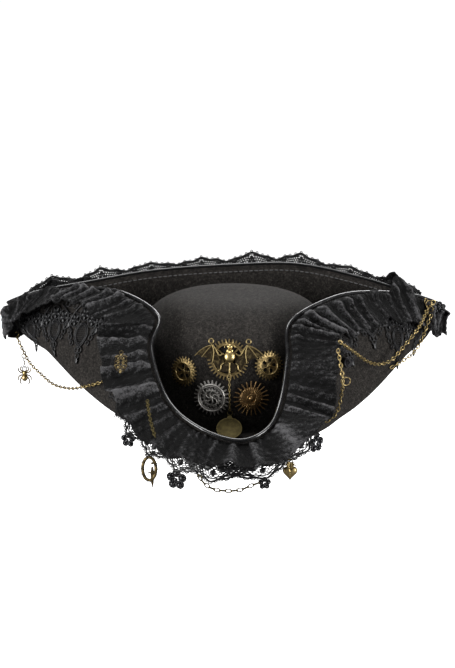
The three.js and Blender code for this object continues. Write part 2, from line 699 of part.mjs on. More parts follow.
// Stands a charm upright on the front ruffle's pleats: its foot rests on them, its top leans off
function standOnRuffle(mesh, s, share, half) {
  const at = ruffleTop(s, share, RUFFLE_WALL);
  const inward = ruffleTop(s, share, 0).sub(at).normalize();
  const side = inward.clone().cross(vec(0, 0, 1)).normalize();
  const up = side.clone().cross(inward);
  mesh.quaternion.setFromRotationMatrix(new THREE.Matrix4().makeBasis(side, inward, up));
  mesh.rotateX(CHARM_LEAN);
  mesh.position.copy(at).addScaledVector(inward, -half * Math.sin(CHARM_LEAN));
}

// Sews a flower under a scallop of the lace hem. It faces straight out from the hem.
function sewOnHem(mesh, column) {
  const side = lacePoint(column - 1, 1).sub(lacePoint(column + 1, 1)).setZ(0).normalize();
  const inward = vec(-side.y, side.x, 0);
  mesh.quaternion.setFromRotationMatrix(new THREE.Matrix4().makeBasis(side, inward, vec(0, 0, 1)));
  hangBelow(mesh, lacePoint(column, 1), SEAT_GAP + LACE_WALL / 2);
}

// Pins a cloth rose over the corded lace on the outer face of the brim, depth below the edge
function pinOnFlap(mesh, s, depth) {
  const lift = GUIPURE_SEAT + GUIPURE_WALL + SEAT_GAP;
  const seat = outerFacePoint(s, depth, lift);
  const out = outerFacePoint(s, depth, 1 + lift).sub(seat);
  mesh.quaternion.setFromUnitVectors(vec(0, -1, 0), out.normalize());
  mesh.position.copy(seat);
}

// Bat with spread wings, two rings on its shoulders, a round belly and a forked tail
function batCharm() {
  const half = BAT_SPAN / 2;
  const wing = [
    [0.1, 0.14], [0.3, 0.1], [0.42, 0.3], [0.62, 0.28], [0.86, 0.12], [1.0, -0.06],
    [0.88, -0.02], [0.74, -0.12], [0.58, -0.08], [0.44, -0.26], [0.3, -0.14], [0.14, -0.24],
  ];
  const tail = [[0.07, -0.42], [0.0, -0.5]];
  const right = [...wing, ...tail].map(([x, z]) => [x * half, z * half]);
  const left = right.slice(0, -1).reverse().map(([x, z]) => [-x, z]);
  const ring = (sign) => wireRing(sign * 0.55 * half, 0.38 * half, 0.1 * half);
  return fuse([
    plate(polygon([...right, ...left])),
    boss(0, -0.05 * half, 0.18 * half),
    boss(0, 0.2 * half, 0.12 * half),
    ring(-1).translate(0, -PLATE_WALL / 2, 0),
    ring(1).translate(0, -PLATE_WALL / 2, 0),
  ]);
}

// Plain round medallion with a neck, hung at the centre of its ring
function medallion() {
  const disc = new THREE.CylinderGeometry(MEDALLION_RADIUS, MEDALLION_RADIUS, PLATE_WALL, 20);
  const neck = 0.22 * MEDALLION_RADIUS;
  const top = MEDALLION_RADIUS;
  return fuse([
    disc,
    new THREE.BoxGeometry(2 * neck, PLATE_WALL, 2 * neck).translate(0, 0, top + 0.6 * neck),
    wireRing(0, top + 2.3 * neck, neck),
  ]).translate(0, 0, -(top + 2.3 * neck));
}

// Spider on a short stem under a jump ring: an abdomen, a thorax and eight legs cut from plate
function spiderCharm() {
  const reach = SPIDER_SPAN / 2;
  const wide = 0.1;
  const legs = table("hipZ kneeX kneeZ toeX toeZ skew", [
    [-0.8, 0.6, -0.3, 0.75, 0.1, -0.8],
    [-0.95, 0.72, -0.72, 1.0, -0.62, 0.2],
    [-1.1, 0.72, -1.12, 1.0, -1.5, 0.8],
    [-1.25, 0.5, -1.4, 0.6, -2.0, 1.0],
  ]);
  const legPlate = (leg, sign) => {
    const outline = [
      [0.05, leg.hipZ + wide],
      [leg.kneeX + wide * leg.skew, leg.kneeZ + wide],
      [leg.toeX, leg.toeZ],
      [leg.kneeX - wide * leg.skew, leg.kneeZ - wide],
      [0.05, leg.hipZ - wide],
    ];
    const scaled = outline.map(([x, z]) => [sign * x * reach, z * reach]);
    return plate(polygon(scaled), 0.8).translate(0, 0.4, 0);
  };
  const stem = SPIDER_DROP + 0.4 * reach;
  return fuse([
    wireRing(0, 0.45 * reach, 0.34 * reach),
    new THREE.CylinderGeometry(0.6, 0.6, stem, 6).rotateX(Math.PI / 2).translate(0, 0, 0.12 * reach - stem / 2),
    ...[
      bead(0, 0, -0.3 * reach, 0.36 * reach, 1.4),
      bead(0, 0, -1.05 * reach, 0.4 * reach),
      ...legs.flatMap((leg) => [legPlate(leg, 1), legPlate(leg, -1)]),
    ].map((part) => part.translate(0, 0, -SPIDER_DROP)),
  ]);
}

// Heart padlock with a small leaf mount and a hanging ring
function heartPadlock() {
  const half = HEART_WIDTH / 2;
  const outline = [
    [0, -1.25], [0.62, -0.62], [1, 0.05], [0.95, 0.5], [0.55, 0.78], [0.15, 0.62], [0, 0.4],
  ].map(([x, z]) => [x * half, z * half]);
  const mirrored = outline.slice(1, -1).reverse().map(([x, z]) => [-x, z]);
  const wall = 3 * PLATE_WALL;
  return fuse([
    plate(polygon([...outline, ...mirrored]), wall),
    plate(polygon([[-0.5 * half, 0.5 * half], [0.5 * half, 0.5 * half], [0, 1.2 * half]])),
    wireRing(0, 1.45 * half, 0.35 * half).translate(0, -PLATE_WALL / 2, 0),
  ]);
}

// Ring of thorns with a small dagger through it
function thornCharm() {
  const half = THORN_RING_HEIGHT / 2;
  const ring = new THREE.TorusGeometry(half, 0.7, 3, 10).scale(0.55, 1, 1).rotateX(Math.PI / 2);
  const blade = polygon([
    [-0.12, -0.4], [0.0, -1.75], [0.12, -0.4], [0.4, -0.4], [0.4, -0.25], [0.12, -0.25],
    [0.1, 0.3], [-0.1, 0.3], [-0.12, -0.25], [-0.4, -0.25], [-0.4, -0.4],
  ].map(([x, z]) => [x * half + 0.25 * half, z * half - 0.3 * half]));
  return fuse([
    ring.translate(0, 0, -half),
    plate(blade).translate(0, 0.5 * PLATE_WALL, -half),
    wireRing(0, 0.18 * half, 0.24 * half),
  ]);
}

// Pierced oval charm of scrolls
function filigreeCharm() {
  const half = FILIGREE_HEIGHT / 2;
  const outline = Array.from({ length: 14 }, (_, i) => {
    const angle = (2 * Math.PI * i) / 14;
    const wave = i % 2 === 0 ? 1 : 0.8;
    return [0.48 * half * wave * Math.sin(angle), half * wave * Math.cos(angle)];
  });
  const shape = polygon(outline);
  cutHole(shape, 0, 0.35 * half, 0.18 * half);
  cutHole(shape, 0, -0.35 * half, 0.18 * half);
  return plate(shape);
}

// Four-petalled flower of faceted beads
function flowerBead(radius) {
  const petals = [0, 1, 2, 3].map((i) => {
    const angle = (Math.PI * i) / 2;
    const [x, z] = [0.5 * radius * Math.cos(angle), 0.5 * radius * Math.sin(angle)];
    return new THREE.OctahedronGeometry(0.55 * radius).scale(1, 0.6, 1).translate(x, 0, z);
  });
  return fuse(petals);
}

// Cloth rose: a low cone of petals, with its back at y = 0
function clothRose() {
  const sides = 6;
  const profile = [[0, 0], [0.9, 0], [1, 0.4], [0.6, 0.7], [0, 0.6]];
  const points = profile.map(([r, h]) => new THREE.Vector2(r * ROSE_RADIUS, h * ROSE_RADIUS));
  return fuse([new THREE.LatheGeometry(points, sides).rotateX(Math.PI)]);
}

// A chain as one round cord along its route
function chainTube(route) {
  const curve = new THREE.CatmullRomCurve3(route.map((p) => vec(...p)));
  const section = new THREE.Shape();
  const sides = 8;
  for (let i = 0; i < sides; i += 1) {
    const angle = (2 * Math.PI * i) / sides;
    const corner = [0.5 * LINK_WIDTH * Math.cos(angle), 0.5 * LINK_WIDTH * Math.sin(angle)];
    if (i === 0) section.moveTo(...corner);
    else section.lineTo(...corner);
  }
  section.closePath();
  const steps = Math.ceil(curve.getLength() / (3 * LINK_WIDTH));
  return new THREE.ExtrudeGeometry(section, { steps, extrudePath: curve, bevelEnabled: false });
}

// Felt body and its edge
addPiece("felt_body", feltShell(), FELT);
addPiece("edge_piping", edgePiping(), PIPING_LEATHER);

// Ruffles and lace
const frontStart = RIGHT_TIP - LAPS_ROWS + TIP_GAP;
const frontRuffle = ruffle(frontStart, LEFT_TIP - TIP_GAP, FRONT_RUFFLE_SEAT, [0, 0.5, 1]);
addPiece("ruffle_front", frontRuffle, RUFFLE_CLOTH);
const backRuffle = ruffle(LEFT_TIP + TIP_GAP, RIGHT_TIP - TIP_GAP, BACK_RUFFLE_SEAT, [0, 1]);
addPiece("ruffle_back", backRuffle, RUFFLE_CLOTH);
addPiece("lace_front", frontLace(), LACE_THREAD);
addPiece("lace_left", cordedLace(4.6, 7.6, [0.8, 1.05, 0.9, 0.75]), LACE_THREAD);
addPiece("lace_right", cordedLace(16.5, 19.4, [0.8, 1.05, 0.75, 0.95]), LACE_THREAD);
addPiece("lace_back", backLace(), LACE_THREAD);

// Ornaments on the crown
const sideGear = () => gear(SIDE_GEAR_RADIUS, 20, 0.8, 5, 0.16, 0.42);
const { largeGear, leftGear, rightGear, silverGear, sunburst } = CROWN_PLACES;
const large = addPiece("gear_large", gear(LARGE_GEAR_RADIUS, 24, 0.82, 0), ANTIQUE_BRASS);
seatOnCrown(large, largeGear);
seatOnCrown(addPiece("bat", batCharm(), ANTIQUE_BRASS), largeGear, 1, BAT_SHIFT);
seatOnCrown(addPiece("gear_left", sideGear(), DARK_BRONZE), leftGear);
seatOnCrown(addPiece("gear_right", sideGear(), DARK_BRONZE), rightGear);
const silver = addPiece("gear_silver", gear(SILVER_GEAR_RADIUS, 24, 0.82, 0), GUNMETAL);
seatOnCrown(silver, silverGear);
const burst = addPiece("gear_sunburst", gear(SUNBURST_RADIUS, 22, 0.66, 0), COPPER);
seatOnCrown(burst, sunburst);
hangMedallion(addPiece("medallion", medallion(), DARK_BRONZE));

// Chains
for (const [name, route] of Object.entries(CHAIN_ROUTES)) {
  addPiece(name, chainTube(route), ANTIQUE_BRASS);
}

// Charms that hang from the chains and the lace
const spiderHold = vec(...SPIDER_HOLD);
spiderHold.z -= LINK_WIDTH / 2;
hangBelow(addPiece("spider", spiderCharm(), ANTIQUE_BRASS), spiderHold);
hangBelow(addPiece("thorn_charm", thornCharm(), DARK_BRONZE), lacePoint(30, 1));
const heartHold = lacePoint(15, 1).lerp(lacePoint(16, 1), 0.55);
hangBelow(addPiece("heart_padlock", heartPadlock(), ANTIQUE_BRASS), heartHold);
standOnRuffle(addPiece("filigree_charm", filigreeCharm(), ANTIQUE_BRASS), 2.7, 0.62, FILIGREE_HEIGHT / 2);

// Flowers on the lace hem, and roses on the right flap
sewOnHem(addPiece("flower_front_left", flowerBead(FLOWER_RADIUS), BLACK_BEAD), 26);
sewOnHem(addPiece("flower_front_right", flowerBead(0.6 * FLOWER_RADIUS), BLACK_BEAD), 18);
sewOnHem(addPiece("flower_left", flowerBead(0.7 * FLOWER_RADIUS), BLACK_BEAD), 34);
sewOnHem(addPiece("flower_right", flowerBead(0.9 * FLOWER_RADIUS), BLACK_BEAD), 10);
pinOnFlap(addPiece("rose_upper", clothRose(), ROSE_CLOTH), 19.22, 46);
pinOnFlap(addPiece("rose_lower", clothRose(), ROSE_CLOTH), 19.26, 59.5);

export default hat;
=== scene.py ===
"""Builds the look of a felt tricorn hat with lace, ruffles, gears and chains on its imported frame."""

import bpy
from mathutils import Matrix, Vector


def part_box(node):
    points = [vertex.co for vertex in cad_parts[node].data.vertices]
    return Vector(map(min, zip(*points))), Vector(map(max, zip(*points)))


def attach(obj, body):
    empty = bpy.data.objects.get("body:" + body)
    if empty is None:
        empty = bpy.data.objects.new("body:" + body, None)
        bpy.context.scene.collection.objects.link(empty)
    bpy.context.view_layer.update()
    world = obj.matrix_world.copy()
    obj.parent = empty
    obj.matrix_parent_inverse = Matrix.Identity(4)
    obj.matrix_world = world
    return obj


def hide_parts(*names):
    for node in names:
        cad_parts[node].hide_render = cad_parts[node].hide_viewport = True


bl_info = {
    "name": "Tricorn Hat Builder",
    "version": (1, 0, 0),
    "blender": (4, 5, 0),
    "location": "View3D > Sidebar > Tricorn",
    "description": "Builds a trimmed felt tricorn hat piece by piece",
    "category": "Add Mesh",
}

import bpy
import numpy as np
from mathutils import Vector

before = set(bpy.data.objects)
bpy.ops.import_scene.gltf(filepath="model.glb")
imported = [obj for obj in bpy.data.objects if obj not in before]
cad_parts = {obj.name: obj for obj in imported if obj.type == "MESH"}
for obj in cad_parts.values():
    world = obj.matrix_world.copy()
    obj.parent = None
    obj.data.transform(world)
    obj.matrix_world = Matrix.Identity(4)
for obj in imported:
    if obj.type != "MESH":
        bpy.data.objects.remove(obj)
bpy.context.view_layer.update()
MM = 0.001
TAU = 2 * np.pi
UP = np.array([0, 0, 1.0])

# Sizes in millimetres
HEAD_HALF_WIDTH = 93.0
HEAD_HALF_LENGTH = 101.0
HEAD_DIP = 6.0
CROWN_HEIGHT = 99.0
WING_REACH = 223.0
FRONT_REACH = 178.0
FLAP_HEIGHT = 105.0
FELT_WALL = 2.2
SEAT_GAP = 0.35
RUFFLE_SINK = 2.0
LACE_SINK = 5.0
RUFFLE_WIDTH = 45.0
PLEAT_PITCH = 24.0
PLEAT_HEIGHT = 7.0
LACE_WIDTH = 42.0
LACE_WALL = 1.0
LACE_SCALLOP = 5.0
GUIPURE_WALL = 1.2
GUIPURE_DROP = 62.0
GUIPURE_SEAT = 1.0
GUIPURE_MIDDLE = 1.5
BACK_LACE_STAND = 7.0
BACK_LACE_SEAT = 9.0
PIPING_RADIUS = 2.0
PIPING_RISE = 1.3
STITCH_DEPTH = 5.6
RUFFLE_WALL = 1.2
GATHER_PITCH = 17.0
GATHER_HEIGHT = 8.5
FINE_PITCH = 6.2
PUFF_HEIGHT = 3.6
LACE_FRINGE = 2.2
PLATE_WALL = 1.2
PLATE_SEAT = 0.15
MEDALLION_RADIUS = 11.2
MEDALLION_NECK = 0.22 * MEDALLION_RADIUS
MEDALLION_STEM = 2.3 * MEDALLION_NECK
THORN_HEIGHT = 21.0
HEART_WIDTH = 11.5
FILIGREE_HEIGHT = 19.0
SPIDER_REACH = 6.5
SPIDER_DROP = 13.0
ROSE_RADIUS = 6.0
RING_WIRE = 0.9

# Columns of the front lace's hem, and how many make one scallop
LACE_COLUMNS = 44
SCALLOP_COLUMNS = 4

# Sections at the two tips, and how far the ruffles end from them
LEFT_TIP = 8
RIGHT_TIP = 16
TIP_GAP = 0.06

# Weight of the brim's fold, share of the way to its edge where the flap lace hangs free, and
# lean of the filigree charm in radians
FOLD_SHARPNESS = 3.0
FREE_HANG = 0.625
CHARM_LEAN = 0.55

# Where the ruffle stands up over the edge: side, height and half width of each peak
SEAM_PEAKS = (
    (159.0, 21.0, 10.0), (-150.0, 9.0, 14.0), (-180.0, 13.0, 11.0), (-203.0, 6.0, 8.0),
    (130.0, 5.0, 9.0),
)

# Brim sections, clockwise from the front corner: azimuth in degrees at the head opening, fold and
# edge as shares of the wing reach, front reach and flap height, and the trims' width shares and
# flare angles
SECTION_COLUMNS = (
    "azimuth foldX foldY foldZ edgeX edgeY edgeZ ruffle ruffleFlare lace laceFlare".split()
)
SECTION_ROWS = np.array([
    [-90, 0.013, -0.845, -0.072, 0.013, -1.0, 0.108, 0.92, 140, 0.78, 96],
    [-105, -0.179, -0.781, -0.099, -0.145, -0.92, 0.18, 0.85, 96, 0.88, 46],
    [-118, -0.34, -0.652, -0.108, -0.264, -0.759, 0.333, 0.95, 79, 0.94, 48],
    [-130, -0.451, -0.513, -0.099, -0.332, -0.545, 0.658, 1.0, 68, 1.0, 40],
    [-143, -0.528, -0.364, -0.081, -0.311, -0.385, 0.883, 1.05, 63, 1.0, 40],
    [-158, -0.617, -0.214, -0.036, -0.46, -0.16, 1.0, 0.95, 66, 1.0, 40],
    [-172, -0.74, -0.032, 0.099, -0.647, 0.053, 0.964, 0.65, 63, 1.0, 40],
    [-186, -0.877, 0.225, 0.315, -0.872, 0.267, 0.829, 0.6, 45, 1.0, 40],
    [-192, -0.949, 0.353, 0.396, -1.0, 0.396, 0.703, 0.66, 12, 1.0, 30],
    [-200, -0.851, 0.471, 0.36, -0.872, 0.492, 0.775, 0.8, 30, 1.0, 30],
    [-220, -0.574, 0.599, 0.126, -0.638, 0.588, 0.838, 1.0, 22, 1.0, 30],
    [-245, -0.306, 0.695, -0.036, -0.362, 0.674, 0.91, 1.0, 20, 1.0, 30],
    [-270, 0.0, 0.727, -0.063, 0.0, 0.711, 0.955, 1.0, 20, 1.0, 30],
    [-295, 0.306, 0.695, -0.036, 0.298, 0.674, 0.973, 1.0, 20, 1.0, 30],
    [-320, 0.553, 0.599, 0.108, 0.596, 0.578, 0.865, 1.0, 22, 1.0, 30],
    [-340, 0.783, 0.449, 0.306, 0.8, 0.471, 0.757, 0.8, 30, 1.0, 30],
    [-348, 0.864, 0.332, 0.36, 0.906, 0.364, 0.703, 0.6, 8, 1.0, 30],
    [-356, 0.8, 0.193, 0.27, 0.791, 0.225, 0.829, 0.62, 12, 1.0, 30],
    [-370, 0.681, -0.053, 0.09, 0.596, 0.011, 0.946, 0.62, 25, 1.0, 30],
    [-384, 0.57, -0.235, -0.036, 0.417, -0.182, 0.973, 0.9, 32, 1.0, 30],
    [-398, 0.485, -0.385, -0.081, 0.23, -0.417, 0.847, 1.0, 57, 1.0, 30],
    [-412, 0.417, -0.524, -0.099, 0.213, -0.567, 0.595, 1.0, 62, 1.0, 25],
    [-424, 0.315, -0.663, -0.108, 0.183, -0.759, 0.324, 0.92, 50, 0.9, 20],
    [-437, 0.179, -0.781, -0.099, 0.128, -0.93, 0.171, 0.78, 90, 0.77, 62],
])
SECTIONS = dict(zip(SECTION_COLUMNS, SECTION_ROWS.T))
SECTION_COUNT = len(SECTION_ROWS)

# Ornaments on the crown: azimuth in degrees and share of the crown's height
CROWN_PLACES = {
    "gear_large": (-93.5, 0.637),
    "gear_left": (-119.0, 0.503),
    "gear_right": (-70.5, 0.572),
    "gear_silver": (-102.5, 0.307),
    "gear_sunburst": (-80.8, 0.304),
    "pendant": (-92.4, 0.185),
}

# The bat from the large gear's middle, right and up, and its tail, right, up and off the felt
BAT_SHIFT = (1.4, 4.0)
BAT_TAIL = (BAT_SHIFT[0], BAT_SHIFT[1] - 21.0, 4.2)

# Link length of the two dull chains, as a share of the others'
LARGE_LINKS = {"chain_front": 1.25, "chain_cheek": 0.85}

# Middle and radius of the flower at the right tip
TIP_FLOWER = (200.0, 44.0, 76.0)
TIP_FLOWER_RADIUS = 6.5

# Section of the brim and share of the ruffle's depth where the filigree charm stands
FILIGREE_PLACE = (2.7, 0.62)

# Jump rings on the chains: middle, radius, turn
EXTRA_RINGS = {
    "chain_right_upper": (
        ((189.5, 40, 80.5), 3.2, 10), ((186, 37, 84), 2.6, 60), ((191, 38, 76), 2.8, -40),
        ((193.5, 40, 82), 2.4, 20), ((188, 36, 73), 2.2, 70),
    ),
    "chain_right_drop": (((97.5, -131.5, 50.5), 3.6, 15), ((94.5, -131.5, 54), 2.0, 70)),
    "chain_left": (((-217, 76, 41), 2.2, 20),),
}

# Soft lights: name, power in watts, width, place and aim in metres
LIGHTS = (
    ("top", 14.5, 0.7, (-0.1, 0.15, 1.4), (0, 0, 0.03)),
    ("left", 28, 0.7, (-1.3, -0.7, 0.22), (-0.05, 0, 0.03)),
    ("right", 26, 0.7, (1.3, -0.7, 0.25), (0.05, 0, 0.03)),
    ("back", 10, 0.8, (0.2, 1.2, 0.6), (0, 0, 0.05)),
)

# Camera: place in metres, tilt in degrees from straight down, and lens in millimetres
CAMERA_PLACE = (-0.006175, -1.47485, 0.42805)
CAMERA_TILT = 76
CAMERA_LENS = 86.23

# Routes of the chains in millimetres
CHAIN_ROUTES = {
    "chain_left": [
        (-217.3, 77.3, 40.1), (-213.6, 72, 33), (-208.2, 62, 26.5), (-201, 50, 18.4),
        (-188.6, 34, 11.5), (-173.9, 14, 6.5), (-156.5, -8, 8.9), (-142.2, -26, 15.4),
        (-127, -44, 24), (-108, -56.8, 33.5),
    ],
    "chain_front": [
        (-30.5, -182.9, -17.9), (-26.3, -188, -23.3), (-17.6, -194, -26.6), (-6.6, -197, -27),
        (4.4, -199, -25.5), (12, -198.5, -22.5), (20.2, -195.2, -20.4),
    ],
    "chain_right_upper": [
        (189.4, 41, 78.6), (184, 27, 71.5), (175, 3, 64.4), (163, -6, 52.4), (149, -18, 40.3),
        (136, -32, 39.2), (122.6, -50, 46.9), (108, -76, 62.8), (98.4, -103, 75),
        (92, -108.9, 80.9),
    ],
    "chain_right_lower": [
        (192.1, 39.2, 70.1), (186.5, 29.9, 60.3), (181, 20, 49.9), (173.5, 11, 40.2),
        (161, 1, 33.4), (149, -5.2, 28.4),
    ],
    "chain_right_drop": [
        (90.7, -115.3, 75.3), (92.2, -125, 66.5), (94, -130, 55), (94.5, -128, 43.9),
        (93.2, -123, 31.3), (91, -121, 20.5), (85, -121, 13), (76.9, -121.8, 9.8),
    ],
    "chain_cheek": [
        (-75.9, -142, 36.6), (-74.2, -154, 31.6), (-72.4, -163, 26), (-70.2, -172, 20.8),
        (-67.4, -182, 16),
    ],
}


# Curves and surfaces of the hat

def unit(v):
    """v divided by its length, along the last axis."""
    return v / np.maximum(np.linalg.norm(v, axis=-1, keepdims=True), 1e-12)


def mix(a, b, t):
    """a and b blended by t."""
    return a + (b - a) * t


def xyz(*parts):
    """Coordinates that broadcast together, as an array of points."""
    return np.stack(np.broadcast_arrays(*parts), -1)


def turns(count, shift=0.0):
    """Angles of count places round a circle, the first moved by a share of their pitch."""
    return TAU * (np.arange(count) + shift) / count


def polar(radius, angle, *height):
    """Points at a radius and an angle: flat, or at a height."""
    return xyz(radius * np.cos(angle), radius * np.sin(angle), *height)


def alternate(count):
    """1 and -1 in turn."""
    return np.where(np.arange(count) % 2 == 0, 1, -1)


def swelling(t, span, start, power):
    """A share that is small at the ends of a path and 1 in its middle, for t from 0 to 1."""
    return np.sin(np.pi * np.clip(t * span + start, 0, 1)) ** power


def run_along(points):
    """Length along a path up to each of its points."""
    return np.concatenate([[0], np.cumsum(np.linalg.norm(np.diff(points, axis=0), axis=1))])


def grid_normals(points, wrap=False):
    """Unit normals of a grid of points: the cross product of its two directions."""
    if wrap:
        ahead = np.roll(points, -1, axis=0) - np.roll(points, 1, axis=0)
    else:
        ahead = np.gradient(points, axis=0)
    return unit(np.cross(ahead, np.gradient(points, axis=1)))


def catmull(a, b, c, d, t):
    """Catmull-Rom cubic from b to c at t, with a before and d after them."""
    square = (2 * a - 5 * b + 4 * c - d) * t ** 2
    cube = (3 * b - a - 3 * c + d) * t ** 3
    return 0.5 * (2 * b + (c - a) * t + square + cube)


def along(column, s, lap=0.0):
    """The closed Catmull-Rom loop through a column of the table, gaining lap each full turn."""
    s = np.asarray(s, float)
    start = np.floor(s).astype(int)

    def at(i):
        turns = i // SECTION_COUNT
        return SECTIONS[column][i - turns * SECTION_COUNT] + lap * turns

    return catmull(at(start - 1), at(start), at(start + 1), at(start + 2), s - start)


def smooth_route(route, step):
    """Points at about the given step along the Catmull-Rom curve through a route."""
    p = np.asarray(route, float)
    p = np.concatenate([[2 * p[0] - p[1]], p, [2 * p[-1] - p[-2]]])
    t = np.linspace(0, 1, 40, endpoint=False)[None, :, None]
    fine = catmull(p[:-3, None], p[1:-2, None], p[2:-1, None], p[3:, None], t).reshape(-1, 3)
    fine = np.concatenate([fine, p[-2:-1]])
    run = run_along(fine)
    even = np.linspace(0, run[-1], max(2, int(round(run[-1] / step)) + 1))
    return xyz(*(np.interp(even, run, fine[:, k]) for k in range(3)))


def crown_point(azimuth, reach, lift):
    """A point of the dome: the head oval times reach, at lift times the height, with the rim's
    dip growing with the sine of the azimuth squared. reach^4 + lift^4 = 1 on the dome."""
    dip = HEAD_DIP * np.sin(azimuth) ** 2
    x = HEAD_HALF_WIDTH * np.cos(azimuth) * reach
    y = HEAD_HALF_LENGTH * np.sin(azimuth) * reach
    return xyz(x, y, lift * (CROWN_HEIGHT + dip) - dip)


def brim_point(s, t):
    """The brim: a conic from the crown's rim (t = 0) towards the fold point and up to the edge
    (t = 1), with the fold weighted by its sharpness."""
    s, t = np.broadcast_arrays(np.asarray(s, float), np.asarray(t, float))
    root = crown_point(np.radians(along("azimuth", s, -360)), 1.0, 0.0)
    scale = np.array([WING_REACH, FRONT_REACH, FLAP_HEIGHT])
    fold, edge = (xyz(*(along(kind + c, s) for c in "XYZ")) * scale for kind in ("fold", "edge"))
    t = t[..., None]
    k0, k1, k2 = (1 - t) ** 2, 2 * FOLD_SHARPNESS * t * (1 - t), t ** 2
    return (k0 * root + k1 * fold + k2 * edge) / (k0 + k1 + k2)


def edge_frame(s):
    """The brim edge and its directions: up leaves the edge, out leaves the outer face, and ahead
    is up crossed with out."""
    edge = brim_point(s, 1.0)
    up = edge - brim_point(s, 0.875)
    across = brim_point(np.asarray(s) + 0.2, 1.0) - brim_point(np.asarray(s) - 0.2, 1.0)
    out = -unit(np.cross(across, up))
    up = unit(up)
    return edge, up, out, np.cross(up, out)


def trim_point(s, down, flare, sink, seat, lift):
    """A point of a trim sewn under the edge: from the seam it falls along -up turned towards out
    by the flare angle, and is lifted off its face."""
    edge, up, out, ahead = edge_frame(s)
    angle = np.radians(flare)[..., None]
    fall = -up * np.cos(angle) + out * np.sin(angle)
    face = unit(np.cross(fall, ahead))
    down, lift = np.asarray(down)[..., None], np.asarray(lift)[..., None]
    return edge - up * sink + out * seat + fall * down + face * lift


def even_sections(start, end):
    """(sections, lengths): many sections from start to end and the brim edge's length up to each."""
    s = np.linspace(start, end, 1201)
    return s, run_along(brim_point(s, 1.0))


def outer_face():
    """(points, normals, section step): the outer face of the brim as a grid of sections by depth
    in millimetres below the edge. Past the start of the fold it hangs straight down."""
    s = np.linspace(-4, 28, 641)
    curve = brim_point(s[:, None], np.linspace(1, FREE_HANG, 49))
    step = np.linalg.norm(np.diff(curve, axis=1), axis=2)
    run = np.concatenate([np.zeros((len(s), 1)), np.cumsum(step, axis=1)], axis=1)
    depth = np.arange(0, 101.0)
    j = np.clip((run[:, None] <= depth[:, None]).sum(-1) - 1, 0, step.shape[1] - 1)
    rows = np.arange(len(s))[:, None]
    share = np.clip((depth - run[rows, j]) / step[rows, j], 0, 1)[..., None]
    points = mix(curve[rows, j], curve[rows, j + 1], share)
    points[..., 2] -= np.maximum(depth - run[:, -1:], 0)
    normal = grid_normals(curve)
    normals = unit(mix(normal[rows, j], normal[rows, j + 1], share))
    return points, normals, s[1] - s[0]


FACE_POINTS, FACE_NORMALS, FACE_STEP = outer_face()


def face_point(s, depth, lift):
    """A point over the outer face, blended from the grid of outer_face."""
    u = (np.asarray(s, float) + 4) / FACE_STEP
    i = np.clip(np.floor(u).astype(int), 0, len(FACE_POINTS) - 2)
    j = np.clip(np.floor(depth).astype(int), 0, FACE_POINTS.shape[1] - 2)
    a, b = (u - i)[..., None], (depth - j)[..., None]

    def pick(grid):
        low = mix(grid[i, j], grid[i + 1, j], a)
        return mix(low, mix(grid[i, j + 1], grid[i + 1, j + 1], a), b)

    off = FELT_WALL / 2 + np.asarray(lift)[..., None]
    return pick(FACE_POINTS) + unit(pick(FACE_NORMALS)) * off


# Mesh building

def grid_quads(rows, columns, wrap=False):
    """Quads of a grid of points stored row by row. With wrap the last row joins the first."""
    i = np.arange(rows if wrap else rows - 1)[:, None]
    j = np.arange(columns - 1)
    here, ahead = i * columns + j, (i + 1) % rows * columns + j
    return xyz(here, here + 1, ahead + 1, ahead).reshape(-1, 4)


def walls(points, wall, wrap=False):
    """The points of a grid moved half a wall along its normals, then those moved back as far."""
    offset = grid_normals(points, wrap) * wall / 2
    return np.concatenate([points + offset, points - offset]).reshape(-1, 3)


def shell(points, wall, wrap=False):
    """(points, faces) of a grid of points as a sheet with a wall, joined along its open sides."""
    rows, columns = points.shape[:2]
    count = rows * columns
    top = grid_quads(rows, columns, wrap)
    index = np.arange(count).reshape(rows, columns)
    borders = [index[:, 0], index[:, -1][::-1]]
    if wrap:
        pairs = [(line, np.roll(line, -1)) for line in borders]
    else:
        pairs = [(line[:-1], line[1:]) for line in borders + [index[0][::-1], index[-1]]]
    sides = [np.stack([a, b, b + count, a + count], -1) for a, b in pairs]
    both = walls(points, wall, wrap)
    return both, outward(both, [top, top[:, ::-1] + count, *sides])


def outward(points, faces):
    """The faces, all turned round where the volume that they enclose is negative."""
    volume = 0.0
    for f in faces:
        for k in range(1, f.shape[1] - 1):
            a, b, c = points[f[:, 0]], points[f[:, k]], points[f[:, k + 1]]
            volume += float((a * np.cross(b, c)).sum())
    return [f[:, ::-1] for f in faces] if volume < 0 else faces


